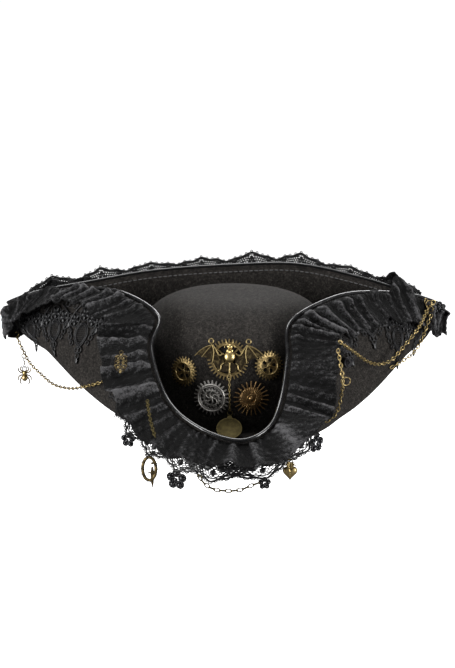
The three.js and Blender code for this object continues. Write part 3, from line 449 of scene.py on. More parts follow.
def tubes(paths, wide, tall, normals=UP, sides=6, closed=False):
    """(points, faces) of tubes along many paths of equal length: at each point of a path stands
    an ellipse, wide across the path and tall along the normal. Open ends get a cap."""
    paths = np.asarray(paths, float)
    many, steps = paths.shape[:2]
    if closed:
        tangent = unit(np.roll(paths, -1, axis=1) - np.roll(paths, 1, axis=1))
    else:
        tangent = unit(np.gradient(paths, axis=1))
    across = unit(np.cross(tangent, normals))
    normal = np.cross(across, tangent)
    angle = turns(sides)[:, None]
    wide, tall = (np.broadcast_to(size, (many, steps))[..., None, None] for size in (wide, tall))
    ring = across[:, :, None] * np.cos(angle) * wide + normal[:, :, None] * np.sin(angle) * tall
    points = (paths[:, :, None] + ring).reshape(-1, 3)
    index = np.arange(many * steps * sides).reshape(many, steps, sides)
    here, ahead = (index, np.roll(index, -1, axis=1)) if closed else (index[:, :-1], index[:, 1:])
    quads = np.stack([here, np.roll(here, -1, axis=2), np.roll(ahead, -1, axis=2), ahead], -1)
    faces = [quads.reshape(-1, 4)]
    if not closed:
        hubs = len(points) + np.arange(2 * many)[:, None]
        points = np.concatenate([points, paths[:, 0], paths[:, -1]])
        for ring, hub, flip in ((index[:, 0], hubs[:many], 1), (index[:, -1], hubs[many:], -1)):
            caps = xyz(hub, np.roll(ring, -1, axis=1), ring).reshape(-1, 3)
            faces.append(caps[:, ::flip])
    return points, outward(points, faces)


def join(*solids):
    """Several (points, faces) solids as one."""
    points, faces, base = [], [], 0
    for p, fs in solids:
        points.append(p)
        faces += [f + base for f in fs]
        base += len(p)
    return np.concatenate(points), faces


def place(solid, origin=(0, 0, 0), axes=np.eye(3), scale=1.0):
    """A solid with its x, y and z laid along the rows of axes and moved to origin."""
    points, faces = solid
    return points @ np.asarray(axes) * scale + np.asarray(origin), faces


def turned(solid, degrees):
    """A solid turned about z."""
    c, s = np.cos(np.radians(degrees)), np.sin(np.radians(degrees))
    return place(solid, axes=[[c, s, 0], [-s, c, 0], [0, 0, 1]])


def make_piece(name, solid, material, rise=None, uv=None):
    """Puts a solid, in millimetres, into a smooth mesh object at the origin that rides on the hat."""
    points, faces = solid
    mesh = bpy.data.meshes.new(name)
    mesh.vertices.add(len(points))
    mesh.vertices.foreach_set("co", (points * MM).astype(np.float32).ravel())
    sizes = np.concatenate([np.full(len(f), f.shape[1]) for f in faces])
    corners = np.concatenate([f.ravel() for f in faces]).astype(np.int32)
    mesh.loops.add(len(corners))
    mesh.loops.foreach_set("vertex_index", corners)
    mesh.polygons.add(len(sizes))
    starts = np.concatenate([[0], np.cumsum(sizes)[:-1]]).astype(np.int32)
    mesh.polygons.foreach_set("loop_start", starts)
    mesh.update(calc_edges=True)
    mesh.validate()
    mesh.polygons.foreach_set("use_smooth", np.ones(len(sizes), bool))
    if rise is not None:
        attribute = mesh.attributes.new("rise", "FLOAT", "POINT")
        attribute.data.foreach_set("value", np.asarray(rise, np.float32))
    if uv is not None:
        layer = mesh.uv_layers.new(name="cloth")
        layer.data.foreach_set("uv", uv[corners].astype(np.float32).ravel())
    mesh.materials.append(material)
    piece = bpy.data.objects.new(name, mesh)
    bpy.context.scene.collection.objects.link(piece)
    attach(piece, "root")
    return piece


# Plates and turned shapes, in a local frame with z off the felt

def cut_plate(outlines, wall, bevel=0.12):
    """A flat plate cut to outlines, the first the rim and the rest holes, with its back at
    z = 0: a filled flat curve, extruded and bevelled."""
    curve = bpy.data.curves.new("cut", "CURVE")
    curve.dimensions = "2D"
    curve.fill_mode = "BOTH"
    curve.extrude = wall / 2 - bevel
    curve.bevel_depth = bevel
    curve.bevel_resolution = 1
    curve.offset = -bevel
    for outline in outlines:
        spline = curve.splines.new("POLY")
        spline.points.add(len(outline) - 1)
        spline.points.foreach_set("co", xyz(*np.transpose(outline), 0, 1).ravel())
        spline.use_cyclic_u = True
    holder = bpy.data.objects.new("cut", curve)
    bpy.context.scene.collection.objects.link(holder)
    bpy.context.view_layer.update()
    graph = bpy.context.evaluated_depsgraph_get()
    mesh = bpy.data.meshes.new_from_object(holder.evaluated_get(graph))
    points = np.empty(3 * len(mesh.vertices))
    mesh.vertices.foreach_get("co", points)
    points = points.reshape(-1, 3) + UP * wall / 2
    corners = np.empty(len(mesh.loops), int)
    mesh.loops.foreach_get("vertex_index", corners)
    starts, totals = np.empty((2, len(mesh.polygons)), int)
    mesh.polygons.foreach_get("loop_start", starts)
    mesh.polygons.foreach_get("loop_total", totals)
    faces = [corners[starts[totals == n][:, None] + np.arange(n)] for n in np.unique(totals)]
    bpy.data.objects.remove(holder)
    bpy.data.meshes.remove(mesh)
    bpy.data.curves.remove(curve)
    return weld(points, outward(points, faces))


def weld(points, faces):
    """A solid whose equal points are merged."""
    keys = np.round(points, 4)
    _, first, back = np.unique(keys, axis=0, return_index=True, return_inverse=True)
    return points[first], [back.ravel()[f] for f in faces]


def turning(profile, around=48):
    """A solid turned about z from a profile of (radius, height) that starts and ends on it."""
    profile = np.asarray(profile, float)
    radius, height = profile[1:-1].T
    points = polar(radius, turns(around)[:, None], height).reshape(-1, 3)
    points = np.concatenate([points, UP * profile[:1, 1:], UP * profile[-1:, 1:]])
    count = len(radius)
    ring = np.arange(around) * count
    after = np.roll(ring, -1)
    fan = xyz(ring, after, around * count)
    far = xyz(after + count - 1, ring + count - 1, around * count + 1)
    return points, outward(points, [grid_quads(around, count, wrap=True), fan, far])


def circle(radius, count=24, centre=(0, 0)):
    """Points round a circle."""
    return polar(radius, turns(count)) + centre


def ring_wire(radius, wire, centre=(0, 0, 0), count=28):
    """A round wire ring that lies in the x-y plane."""
    path = polar(radius, turns(count), 0.0) + centre
    return tubes([path], wire / 2, wire / 2, sides=8, closed=True)


def ball(centre, radii, around=20, rings=10):
    """An ellipsoid about a centre with three half sizes."""
    angle = np.linspace(-np.pi / 2, np.pi / 2, rings + 1)
    points, faces = turning(polar(1.0, angle), around)
    return points * np.asarray(radii) + np.asarray(centre), faces


def crown_axes(azimuth, height):
    """(point, axes) at a place on the crown: side to the right, up the wall, out off the felt."""
    angle, step = np.radians(azimuth), 0.01

    def at(turn, lift):
        return crown_point(turn, (1 - lift ** 4) ** 0.25, lift)

    up = unit(at(angle, height + step) - at(angle, height - step))
    side = unit(at(angle + step, height) - at(angle - step, height))
    return at(angle, height), np.stack([side, up, unit(np.cross(side, up))])


def crown_seat(name, layers=0, shift=(0, 0)):
    """(origin, axes) at a named place of the crown, a number of plate layers off the felt."""
    point, axes = crown_axes(*CROWN_PLACES[name])
    off = FELT_WALL / 2 + PLATE_SEAT + layers * (PLATE_WALL + SEAT_GAP)
    return point + axes[2] * off + axes[0] * shift[0] + axes[1] * shift[1], axes


# Shader maths

class Wire:
    """A node's output with Python arithmetic: each operator adds the Math node that works it out."""

    def __init__(self, paint, socket):
        self.paint = paint
        self.socket = socket

    def math(self, operation, *values):
        """A Math node of two values."""
        return self.paint.node("ShaderNodeMath", {"operation": operation}, dict(enumerate(values)))

    def __add__(self, other):
        return self.math("ADD", self, other)

    def __radd__(self, other):
        return self.math("ADD", other, self)

    def __sub__(self, other):
        return self.math("SUBTRACT", self, other)

    def __rsub__(self, other):
        return self.math("SUBTRACT", other, self)

    def __mul__(self, other):
        return self.math("MULTIPLY", self, other)

    def __rmul__(self, other):
        return self.math("MULTIPLY", other, self)

    def ramp(self, low, high):
        """0 at low and below, 1 at high and above, in a straight line between."""
        inputs = {"Value": self, "From Min": low, "From Max": high}
        return self.paint.node("ShaderNodeMapRange", {"clamp": True}, inputs)


class Paint:
    """A material made of nodes."""

    def __init__(self, name):
        self.material = bpy.data.materials.new(name)
        self.material.use_nodes = True
        self.tree = self.material.node_tree
        self.shader = self.tree.nodes["Principled BSDF"]

    def node(self, kind, settings=None, inputs=None, output=0):
        """Adds a node, sets its settings, then the values or links of its sockets."""
        node = self.tree.nodes.new(kind)
        for name, value in (settings or {}).items():
            setattr(node, name, value)
        for name, value in (inputs or {}).items():
            self.plug(node.inputs[name], value)
        return Wire(self, node.outputs[output])

    def plug(self, socket, value):
        """Links a wire to a socket, or sets the socket's value."""
        if isinstance(value, Wire):
            self.tree.links.new(value.socket, socket)
        elif hasattr(socket.default_value, "__len__"):
            socket.default_value = (*value, 1.0)[:len(socket.default_value)]
        else:
            socket.default_value = value

    def noise(self, size_mm, detail=3.0, rough=0.55, distortion=0.0):
        """Noise from 0 to 1 with blotches of about the given size, on Object coordinates."""
        inputs = {
            "Vector": self.node("ShaderNodeTexCoord", output="Object"),
            "Scale": 1 / (size_mm * MM),
            "Detail": detail,
            "Roughness": rough,
            "Distortion": distortion,
        }
        return self.node("ShaderNodeTexNoise", None, inputs)

    def rise(self):
        """The mesh's rise attribute."""
        return self.node("ShaderNodeAttribute", {"attribute_name": "rise"}, output="Fac")

    def blend(self, factor, a, b):
        """Two colours mixed by a factor."""
        inputs = {0: factor, 6: a, 7: b}
        return self.node("ShaderNodeMix", {"data_type": "RGBA"}, inputs, output=2)

    def bump(self, height, distance_mm, strength):
        """A bumped normal from a height of 0 to 1 that stands for a distance."""
        inputs = {"Height": height, "Distance": distance_mm * MM, "Strength": strength}
        return self.node("ShaderNodeBump", None, inputs)

    def set(self, **sockets):
        """Sets or links the shader's sockets, named with underscores."""
        for name, value in sockets.items():
            words = name.replace("_", " ").title().replace("Ior", "IOR")
            self.plug(self.shader.inputs[words], value)
        return self.material


def times(colour, factor):
    """A colour with its parts multiplied."""
    return [c * factor for c in colour]


def felt_material(colour):
    """Matt wool felt: soft blotches, short fibres as two fine noises, and a faint sheen."""
    paint = Paint("black_brown_felt")
    blotch = paint.noise(26, 4, 0.6)
    fibre = paint.noise(1.2, 4, 0.85, 0.6)
    fluff = paint.noise(2.6, 4, 0.8, 0.8)
    grain = fluff * 0.5 + fibre * 0.5
    shade = paint.blend(blotch.ramp(0.3, 0.72), times(colour, 0.6), colour)
    shade = paint.blend(grain.ramp(0.4, 0.5), times(colour, 0.25), shade)
    shade = paint.blend(grain.ramp(0.5, 0.62), shade, times(colour, 3.0))
    return paint.set(
        base_color=shade,
        roughness=0.95,
        specular_ior_level=0.15,
        sheen_weight=0.03,
        sheen_roughness=0.5,
        normal=paint.bump(fibre * 0.7 + fluff * 0.3, 0.7, 0.9),
    )


def leather_material(colour):
    """Glossy imitation leather: fine creases across a smooth coat."""
    paint = Paint("glossy_black_leather")
    crease = paint.noise(3.5, 3, 0.5, 1.2)
    grain = paint.noise(0.6, 2, 0.5)
    scuff = paint.noise(9, 4, 0.6)
    return paint.set(
        base_color=paint.blend(scuff.ramp(0.55, 0.8) * 0.5, colour, times(colour, 2.6)),
        roughness=scuff.ramp(0.3, 0.8) * 0.2 + 0.14,
        specular_ior_level=0.45,
        coat_weight=0.35,
        coat_roughness=0.04,
        normal=paint.bump(crease * 0.7 + grain * 0.3, 0.3, 0.25),
    )


def crinkle_material(colour):
    """Crinkled black cloth: painted shade in the folds and a painted highlight on their crests, after
    the mesh's rise attribute, broken up by a crushed grain, with fine ribs along the UV map in its
    height."""
    paint = Paint("crinkled_black_cloth")
    rise = paint.rise()
    crush = paint.noise(3.2, 4, 0.75, 1.6)
    grain = paint.noise(2.0, 3, 0.8, 0.8)
    broad = paint.noise(13, 3, 0.5)
    ribs = paint.node(
        "ShaderNodeTexWave",
        {"wave_type": "BANDS", "bands_direction": "X"},
        {
            "Vector": paint.node("ShaderNodeUVMap", {"uv_map": "cloth"}),
            "Scale": 420.0,
            "Distortion": 2.6,
            "Detail": 2.0,
            "Detail Scale": 1.6,
        },
    )
    # crest adds crushed grain and broad random tone to the rise's painted light and shade
    crest = rise * 2.2 + (broad - 0.5) * 0.8 + (crush - 0.5) * 2.2 + (grain - 0.5) * 3.2 - 0.4
    # Painted shade: the colour falls to 0.12 of itself in the folds
    shade = paint.blend(crest.ramp(0.1, 0.6), times(colour, 0.12), colour)
    # Painted highlight: the colour rises to 12.5 times itself on the crests
    shade = paint.blend(crest.ramp(0.55, 1.7), shade, times(colour, 12.5))
    return paint.set(
        base_color=shade,
        roughness=0.7,
        specular_ior_level=0.12,
        sheen_weight=0.02,
        sheen_roughness=0.4,
        normal=paint.bump(crush * 0.5 + grain * 0.2 + ribs * 0.3, 1.3, 1.0),
    )


def thread_material(name, colour, roughness):
    """Twisted black thread: fine bright strands on a dark core."""
    paint = Paint(name)
    strand = paint.noise(0.5, 2, 0.6, 0.8)
    broad = paint.noise(8, 2, 0.5)
    return paint.set(
        base_color=paint.blend(strand.ramp(0.45, 0.75), times(colour, 0.6), times(colour, 2.0)),
        roughness=broad * 0.2 + (roughness - 0.1),
        specular_ior_level=0.3,
        normal=paint.bump(strand, 0.12, 0.6),
    )


def metal_material(name, bright, dark, roughness):
    """Antiqued plate: bright on its raised parts and worn edges, dark in the recesses, after the
    mesh's rise attribute, with fine scratches and tarnish."""
    paint = Paint(name)
    tarnish = paint.noise(3.2, 4, 0.65)
    speck = paint.noise(0.5, 3, 0.7)
    worn = (paint.rise() + (tarnish - 0.5) * 0.9 + (speck - 0.5) * 0.35).ramp(0.12, 0.8)
    return paint.set(
        base_color=paint.blend(worn, dark, bright),
        metallic=worn * 0.25 + 0.75,
        roughness=(1 - worn) * 0.25 + speck * 0.12 + roughness,
        normal=paint.bump(tarnish * 0.5 + speck * 0.5, 0.1, 0.35),
    )


def bead_material(colour):
    """Glossy black beads with a faint swirl."""
    paint = Paint("glossy_black_bead")
    swirl = paint.noise(2.0, 2, 0.5, 1.5)
    return paint.set(
        base_color=paint.blend(swirl, colour, times(colour, 3)),
        roughness=swirl * 0.12 + 0.1,
        coat_weight=0.5,
        normal=paint.bump(swirl, 0.1, 0.2),
    )


def satin_material(colour):
    """Dark satin of the cloth roses."""
    paint = Paint("dark_satin")
    fold = paint.noise(1.6, 3, 0.6, 1.0)
    return paint.set(
        # Painted sheen and shade: the colour follows the fold bump, 2.2 times lighter on its crests and
        # half as bright in its hollows
        base_color=paint.blend(fold.ramp(0.35, 0.75), times(colour, 0.5), times(colour, 2.2)),
        roughness=0.42,
        sheen_weight=0.15,
        normal=paint.bump(fold, 0.3, 0.4),
    )


def floor_material():
    """Plain pale floor with a very faint unevenness."""
    paint = Paint("pale_floor")
    cloud = paint.noise(400, 2, 0.5)
    return paint.set(
        base_color=paint.blend(cloud, (0.93, 0.93, 0.93), (0.95, 0.95, 0.95)),
        roughness=0.9,
        specular_ior_level=0.1,
        emission_color=(1, 1, 1),
        emission_strength=0.85,
    )


# Finishes that are already made, how each is made, and each metal's name, colours and roughness
MATERIALS = {}
FINISHES = {
    "felt": lambda c: felt_material(c.felt),
    "leather": lambda c: leather_material(c.leather),
    "crinkle": lambda c: crinkle_material(c.ruffle),
    "lace": lambda c: thread_material("black_lace_thread", c.lace, 0.45),
    # Painted light: the cords take the black lace colour made 2.2 times lighter, so they read lit
    "cord": lambda c: thread_material("black_lace_cord", times(c.lace, 2.2), 0.36),
    "stitch": lambda c: thread_material("grey_stitch_thread", (0.11, 0.11, 0.112), 0.5),
    "brass": lambda c: metal_material("antique_gold_plate", c.brass, (0.022, 0.015, 0.006), 0.3),
    "bead": lambda c: bead_material((0.006, 0.006, 0.007)),
    "satin": lambda c: satin_material((0.012, 0.011, 0.014)),
    "floor": lambda c: floor_material(),
}
METALS = {
    "old_bronze": ("dull_bronze_plate", (0.105, 0.085, 0.035), (0.03, 0.023, 0.009), 0.5),
    "bronze": ("dark_bronze_plate", (0.42, 0.31, 0.14), (0.02, 0.014, 0.006), 0.32),
    "gunmetal": ("worn_gunmetal_plate", (0.72, 0.69, 0.65), (0.03, 0.028, 0.025), 0.34),
    "copper": ("copper_bronze_plate", (0.4, 0.25, 0.11), (0.03, 0.017, 0.008), 0.32),
}


def material(name):
    """The named finish of the hat, made once."""
    if name not in MATERIALS and name in METALS:
        MATERIALS[name] = metal_material(*METALS[name])
    if name not in MATERIALS:
        MATERIALS[name] = FINISHES[name](bpy.context.scene.hat_colours)
    return MATERIALS[name]


# Felt and cloth pieces

def felt_grid(around=420, crown=34, brim=46):
    """The felt's middle surface: crown rows at even angles of (reach, lift) on the superellipse,
    then brim rows, with a soft unevenness of a few tenths of a millimetre along the normal."""
    s = np.linspace(0, SECTION_COUNT, around, endpoint=False)[:, None]
    angle = np.linspace(np.pi / 2 * 0.985, 0, crown)
    size = (np.cos(angle) ** 4 + np.sin(angle) ** 4) ** 0.25
    azimuth = np.radians(along("azimuth", s, -360))
    dome = crown_point(azimuth, np.cos(angle) / size, np.sin(angle) / size)
    flare = brim_point(s, np.linspace(0, 1, brim + 1)[1:])
    points = np.concatenate([dome, flare], axis=1)
    x, y, z = np.moveaxis(points, -1, 0)
    wave = np.sin(x / 17 + 1.3) * np.sin(y / 13) + np.sin(z / 11)
    return points + grid_normals(points, wrap=True) * 0.12 * wave[..., None]


def felt_solid(wall):
    """The felt: its grid as two walls joined round the edge, with both poles closed by fans."""
    grid = felt_grid()
    rows, columns = grid.shape[:2]
    count = rows * columns
    poles = [[0, 0, CROWN_HEIGHT + wall / 2], [0, 0, CROWN_HEIGHT - wall / 2]]
    points = np.concatenate([walls(grid, wall, wrap=True), poles])
    top = grid_quads(rows, columns, wrap=True)
    first = np.arange(rows) * columns
    edge = first + columns - 1
    second, after = np.roll(first, -1), np.roll(edge, -1)
    rim = xyz(edge + count, after + count, after, edge)
    fan = xyz(first, second, 2 * count)
    under = xyz(second + count, first + count, 2 * count + 1)
    return points, outward(points, [top, top[:, ::-1] + count, rim, fan, under])


def piping_solid(radius):
    """Rolled piping that wraps the edge: a circle carried along it, its middle a little above the
    felt's edge, with soft swellings along its length."""
    s = np.linspace(0, SECTION_COUNT, 900, endpoint=False)
    edge, up = edge_frame(s)[:2]
    swell = 1 + 0.04 * np.sin(s * 9.7) + 0.03 * np.sin(s * 23.1 + 1)
    return tubes([edge + up * PIPING_RISE], radius * swell, radius, up, sides=14, closed=True)


def stitch_solid(depth, pitch, length=3.4):
    """Stitches inside the brim, below its edge: short flattened strands that dip at both ends
    into the felt's inner face."""
    s, run = even_sections(0, SECTION_COUNT)
    count = int(run[-1] / pitch)
    centre = np.arange(count)[:, None] * run[-1] / count
    t = np.linspace(-0.5, 0.5, 7)
    edge, up, out = edge_frame(np.interp(centre + t * length, run, s))[:3]
    bow = 0.28 - 1.6 * t ** 2
    path = edge - up * depth - out * (FELT_WALL / 2 + bow[:, None])
    return tubes(path, 0.55, 0.36, -out, sides=5)


def pleat_height(run, down):
    """Height of the pleats off the ruffle's face, as a share: a main wave and a slower one, both
    sharpened at their crests, growing from the seam to the hem."""
    main = np.cos(TAU * run / PLEAT_PITCH)
    slow = np.cos(TAU * run / (2.7 * PLEAT_PITCH))
    crest = 1 - 2 * np.abs(np.sin(np.pi * run / PLEAT_PITCH)) ** 0.8
    return (0.5 + 0.34 * mix(main, crest, 0.6) + 0.16 * slow) * mix(0.25, 1.0, down)


def ruffle_grid(start, end, seat, steps, rows):
    """(points, run, down, rise): a pleated ruffle by its length along the seam and its share down,
    with the rise that paints shade into its folds and a highlight onto its crests. Its pleats wander a
    little. Gathers start sharp at the seam and fade, a puff runs below the seam, and fine folds and
    crinkles cross them."""
    s_table, run_table = even_sections(start, end)
    pleats = round(run_table[-1] / PLEAT_PITCH)
    u = np.linspace(0, 1, steps)[:, None]
    s, run, down = np.broadcast_arrays(
        np.interp(u * run_table[-1], run_table, s_table),
        u * pleats * PLEAT_PITCH,
        np.linspace(0, 1, rows),
    )
    wander = 2.4 * np.sin(run / 37 + 1.1) + 1.7 * np.sin(run / 15.7) + 2.0 * np.sin(run / 29) * down
    fold = pleat_height(run + wander, down)
    phase = np.pi * (run + 2 * wander) / GATHER_PITCH + 0.9 * np.sin(run / 11.3)
    strength = 0.7 + 0.3 * np.sin(run / 23.7 + 0.6)
    sharp = (1 - np.abs(np.sin(phase)) ** 0.75) * strength
    gather = GATHER_HEIGHT * (sharp - 0.25) * np.exp(-0.4 * down) * np.clip(down * 6, 0.1, 1)
    away = np.clip((np.abs(s) - 1.5) / 2.0, 0, 1)
    belt = np.exp(-((down - 0.14) / 0.11) ** 2)
    puff = PUFF_HEIGHT * away * (0.75 + 0.25 * np.sin(run / 7.1)) * belt
    crush = np.sin(run * 1.9 + 4 * np.sin(down * 9 + run / 13)) * np.sin(down * 34 + run / 3.1)
    crush = 0.4 * crush + 0.6 * np.sin(run * 0.83 + down * 21) * np.sin(down * 11 - run / 7)
    fine = 1 - np.abs(np.sin(np.pi * (run + wander) / FINE_PITCH)) ** 0.8
    fine = fine * np.exp(-2.2 * down)
    lift = PLEAT_HEIGHT * fold + gather + puff + 1.3 * (fine - 0.4) + crush * mix(0.5, 1.0, down)
    lift = np.maximum(lift, 0.1)
    hem = 0.8 * np.sin(run / 3.3) + 1.2 * np.sin(run / 9)
    width = RUFFLE_WIDTH * along("ruffle", s) + hem * down
    width = width + 2.2 * away * np.sin(run / 5.3 + 1.3 * np.sin(run / 17)) * down ** 2
    side = edge_frame(s[:, 0])[0][:, :1]
    peak = sum(high * np.exp(-((side - middle) / wide) ** 2) for middle, high, wide in SEAM_PEAKS)
    deep = down * width - peak * (1 - down) ** 2
    points = trim_point(s, deep, along("ruffleFlare", s), RUFFLE_SINK, seat, lift)
    # rise paints light and shade: low in the folds' hollows for painted shade, high on sharp gathers
    # and crests for a painted highlight
    rise = 0.06 + 0.85 * sharp * np.exp(-0.4 * down) + 0.4 * fold * down + 0.25 * (fine + crush)
    return points, run, down, rise


def ruffle_piece(name, start, end, seat, steps, rows):
    """(piece, flat size) of a ruffle, a piece of cloth gathered from a longer strip."""
    points, run, down, rise = ruffle_grid(start, end, seat, steps, rows)
    solid = shell(points, RUFFLE_WALL)
    uv = xyz(run, down * RUFFLE_WIDTH).reshape(-1, 2) * MM
    rise, uv = np.tile(rise.ravel(), 2), np.tile(uv, (2, 1))
    piece = make_piece(name, solid, material("crinkle"), rise=rise, uv=uv)
    hem, depth = (
        np.linalg.norm(np.diff(points, axis=axis), axis=2).sum(axis=axis).mean() for axis in (0, 1)
    )
    return piece, (float(depth) * MM, float(hem) * MM)


# Lace: patterns drawn in the plane of a sheet, q along it and v down it in millimetres

def front_lace_sheet():
    """(length, scallops, depth, place function) of the net lace under the front ruffle. v runs
    from the seam to the hem, and stands for shares of the true width there."""
    s_table, run_table = even_sections(-3.0, 3.0)
    length = run_table[-1]
    seat = FELT_WALL / 2 + SEAT_GAP + LACE_WALL / 2

    def put(q, v, lift):
        s = np.interp(q, run_table, s_table)
        wave = 0.5 + 0.5 * np.cos(TAU * np.asarray(q) * LACE_COLUMNS / length / SCALLOP_COLUMNS)
        width = LACE_WIDTH * along("lace", s) - LACE_SCALLOP * wave + LACE_FRINGE
        down = np.asarray(v) / LACE_WIDTH * width
        return trim_point(s, down, along("laceFlare", s), LACE_SINK, seat, lift)

    return length, LACE_COLUMNS // SCALLOP_COLUMNS, LACE_WIDTH, put


def back_lace_sheet():
    """The same for the lace that stands above the back edge: v runs from its seam to its crest,
    which sways a little and is crimped."""
    s_table, run_table = even_sections(LEFT_TIP + 0.8, RIGHT_TIP - 0.8)
    length, scallops = run_table[-1], 8
    depth = BACK_LACE_SEAT + 2 * PIPING_RADIUS + BACK_LACE_STAND

    def put(q, v, lift):
        edge, up, out = edge_frame(np.interp(q, run_table, s_table))[:3]
        wave = 0.5 - 0.5 * np.cos(TAU * np.asarray(q) * scallops / length)
        crest = 2 * PIPING_RADIUS + SEAT_GAP + BACK_LACE_STAND * mix(0.25, 1, wave)
        crest = crest + 2.2 * np.sin(np.asarray(q) / 31) * wave
        height = mix(-BACK_LACE_SEAT, crest, np.asarray(v) / depth)
        crimp = 0.9 * np.sin(np.asarray(q) / 2.3) * np.clip(height / BACK_LACE_STAND, 0, 1)
        off = PIPING_RADIUS + SEAT_GAP + LACE_WALL / 2 + np.asarray(lift) + crimp
        return edge + up * height[..., None] + out * off[..., None]

    return length, scallops, depth, put


def flap_sheet(start, end):
    """(length, place function) of the corded lace on the brim's outer face: v is the depth below
    the edge."""
    s_table, run_table = even_sections(start, end)

    def put(q, v, lift):
        s = np.interp(q, run_table, s_table)
        return face_point(s, v, np.asarray(lift) + GUIPURE_MIDDLE)

    return run_table[-1], put


def threads(put, paths, wide, tall, lift=0.0, sides=5, closed=False):
    """Threads that follow flat paths (many, steps, 2) on a sheet, turned to lie on it."""
    q, v = np.moveaxis(np.asarray(paths, float), -1, 0)
    lift = np.full(q.shape, lift)
    points = put(q, v, lift)
    normals = unit(put(q, v, lift + 1.0) - points)
    return tubes(points, wide, tall, normals, sides, closed)


def net_ties(lines):
    """Short paths that close the hexagons between zigzag lines, which start high and turn over
    from one line to the next."""
    rows, columns = lines.shape[:2]
    parity = np.arange(rows - 1)[:, None] + np.arange(columns)[None, :]
    row, column = np.nonzero(parity % 2 == 1)
    return np.stack([lines[row, column], lines[row + 1, column]], 1)


def net_threads(put, length, top, bottom, cell, thick, window):
    """A net of hexagons: zigzag threads along it, joined by short threads across. Its threads are
    thick all over but in the windows, (pitch, middle depth, half length, half depth)."""
    pitch, middle, half_q, half_v = window

    def swell(paths):
        q = (paths[..., 0] / pitch) % 1 - 0.5
        far = (q * pitch / half_q) ** 2 + ((paths[..., 1] - middle) / half_v) ** 2
        return thick * mix(1.0, 2.0, np.clip(far * 1.6 - 0.6, 0, 1))

    side = cell / np.sqrt(3)
    rows = max(2, int((bottom - top) / (1.5 * side)))
    q = np.arange(0, length + 1e-6, cell / 2)
    level = mix(top, bottom, (np.arange(rows)[:, None] + 0.5) / rows)
    lines = xyz(q, level - alternate(rows)[:, None] * alternate(len(q)) * side / 4)
    ties = net_ties(lines)
    return join(*(threads(put, paths, swell(paths), thick, sides=4) for paths in (lines, ties)))


def loops(centres, radius, count):
    """Closed round paths about many centres."""
    return centres[:, None] + polar(np.reshape(radius, (-1, 1)), turns(count))


def flower_threads(put, centres, radius):
    """Stitched flowers: five filled petals, widest in their middle, round a corded knot."""
    t = np.linspace(0, 1, 7)
    petals = polar(mix(0.22 * radius, 0.98 * radius, t), 0.3 + turns(5)[:, None])
    paths = (centres[:, None, None] + petals).reshape(-1, 7, 2)
    filled = threads(put, paths, swelling(t, 0.92, 0.06, 0.7) * 0.36 * radius, 0.35, 0.35)
    knot = threads(put, loops(centres, 0.2 * radius, 8), 0.45, 0.55, 0.6, closed=True)
    return join(filled, knot)


def net_lace_solid(sheet, thick, cell, clear):
    """Net lace: a hexagon net, a vine with leaves and a flower in every scallop, a double cord
    along the hem with small loops outside it, and a band at the seam. clear is the size of its
    clear windows, as a share."""
    length, scallops, depth, put = sheet
    pitch = length / scallops
    size = depth / LACE_WIDTH
    window = (pitch, 0.8 * depth, 0.32 * pitch * clear, 0.2 * depth * clear)
    net = net_threads(put, length, 0.6, depth - 2.5, cell, thick, window)
    q = np.linspace(0, length, scallops * 36 + 1)
    hem = depth - 1.3 - 0.9 * np.cos(TAU * q * 3 / pitch)
    vine = (24 + 6.5 * np.cos(TAU * q / pitch)) * size
    other = (15 - 5.5 * np.cos(TAU * q / pitch)) * size
    lines = np.stack([xyz(q, v) for v in (hem, hem - 3.2 * size, vine, other, 0.8)])
    cords = threads(put, lines, np.array([[1.0], [0.6], [0.6], [0.6], [0.6]]), 0.45, 0.1, sides=6)
    picot_q = np.arange(0.5, scallops * 9) * pitch / 9
    picot = loops(xyz(picot_q, np.interp(picot_q, q, hem) + 1.3), 1.0, 8)
    picots = threads(put, picot, 0.42, 0.3, 0.1, sides=4, closed=True)
    centre_q = (np.arange(scallops) + 0.5) * pitch
    side_q = np.arange(1, scallops) * pitch
    third_q = np.concatenate([centre_q - pitch / 3, centre_q + pitch / 3])
    flowers = [
        flower_threads(put, xyz(at, down * size), radius * size)
        for at, down, radius in ((centre_q, 27.5, 8.6), (side_q, 15, 7.0), (third_q, 30, 5.0))
    ]
    leaves = [leaf_row(put, q, line, scallops * 8, size) for line in (vine, other)]
    return join(net, cords, picots, *flowers, *leaves)


def leaf_row(put, q, line, count, size):
    """Filled leaves on both sides of a line, in turn."""
    leaf_q = (np.arange(count) + 0.5) * q[-1] / count
    leaf_v = np.interp(leaf_q, q, line)[:, None]
    t = np.linspace(0, 1, 6)
    swing = alternate(count)[:, None]
    leaf = xyz(leaf_q[:, None] + 3.0 * t * size, leaf_v + swing * 5.6 * t * size)
    return threads(put, leaf, swelling(t, 0.9, 0.07, 0.8) * 1.9 * size, 0.35, 0.3)


# Shield of a corded motif: its top and foot as shares of the drop and its width as a share of the
# motif's half, then the share of its column that a motif fills
SHIELD_TOP = 0.46
SHIELD_FOOT = 0.8
SHIELD_WIDTH = 0.55
MOTIF_SHARE = 0.94

# Rings down each side of a motif: share of its half, share of its drop, radius in millimetres
MOTIF_RINGS = ((0.8, 0.22, 2.8), (0.86, 0.58, 2.6), (0.78, 0.66, 2.4), (0.6, 0.74, 2.2))


def shield_bulge(t):
    """Half width of a shield, as a share, at a share of the way from its top to its foot."""
    return np.sin(np.pi * t) ** 0.55 * (1 - 0.3 * t)


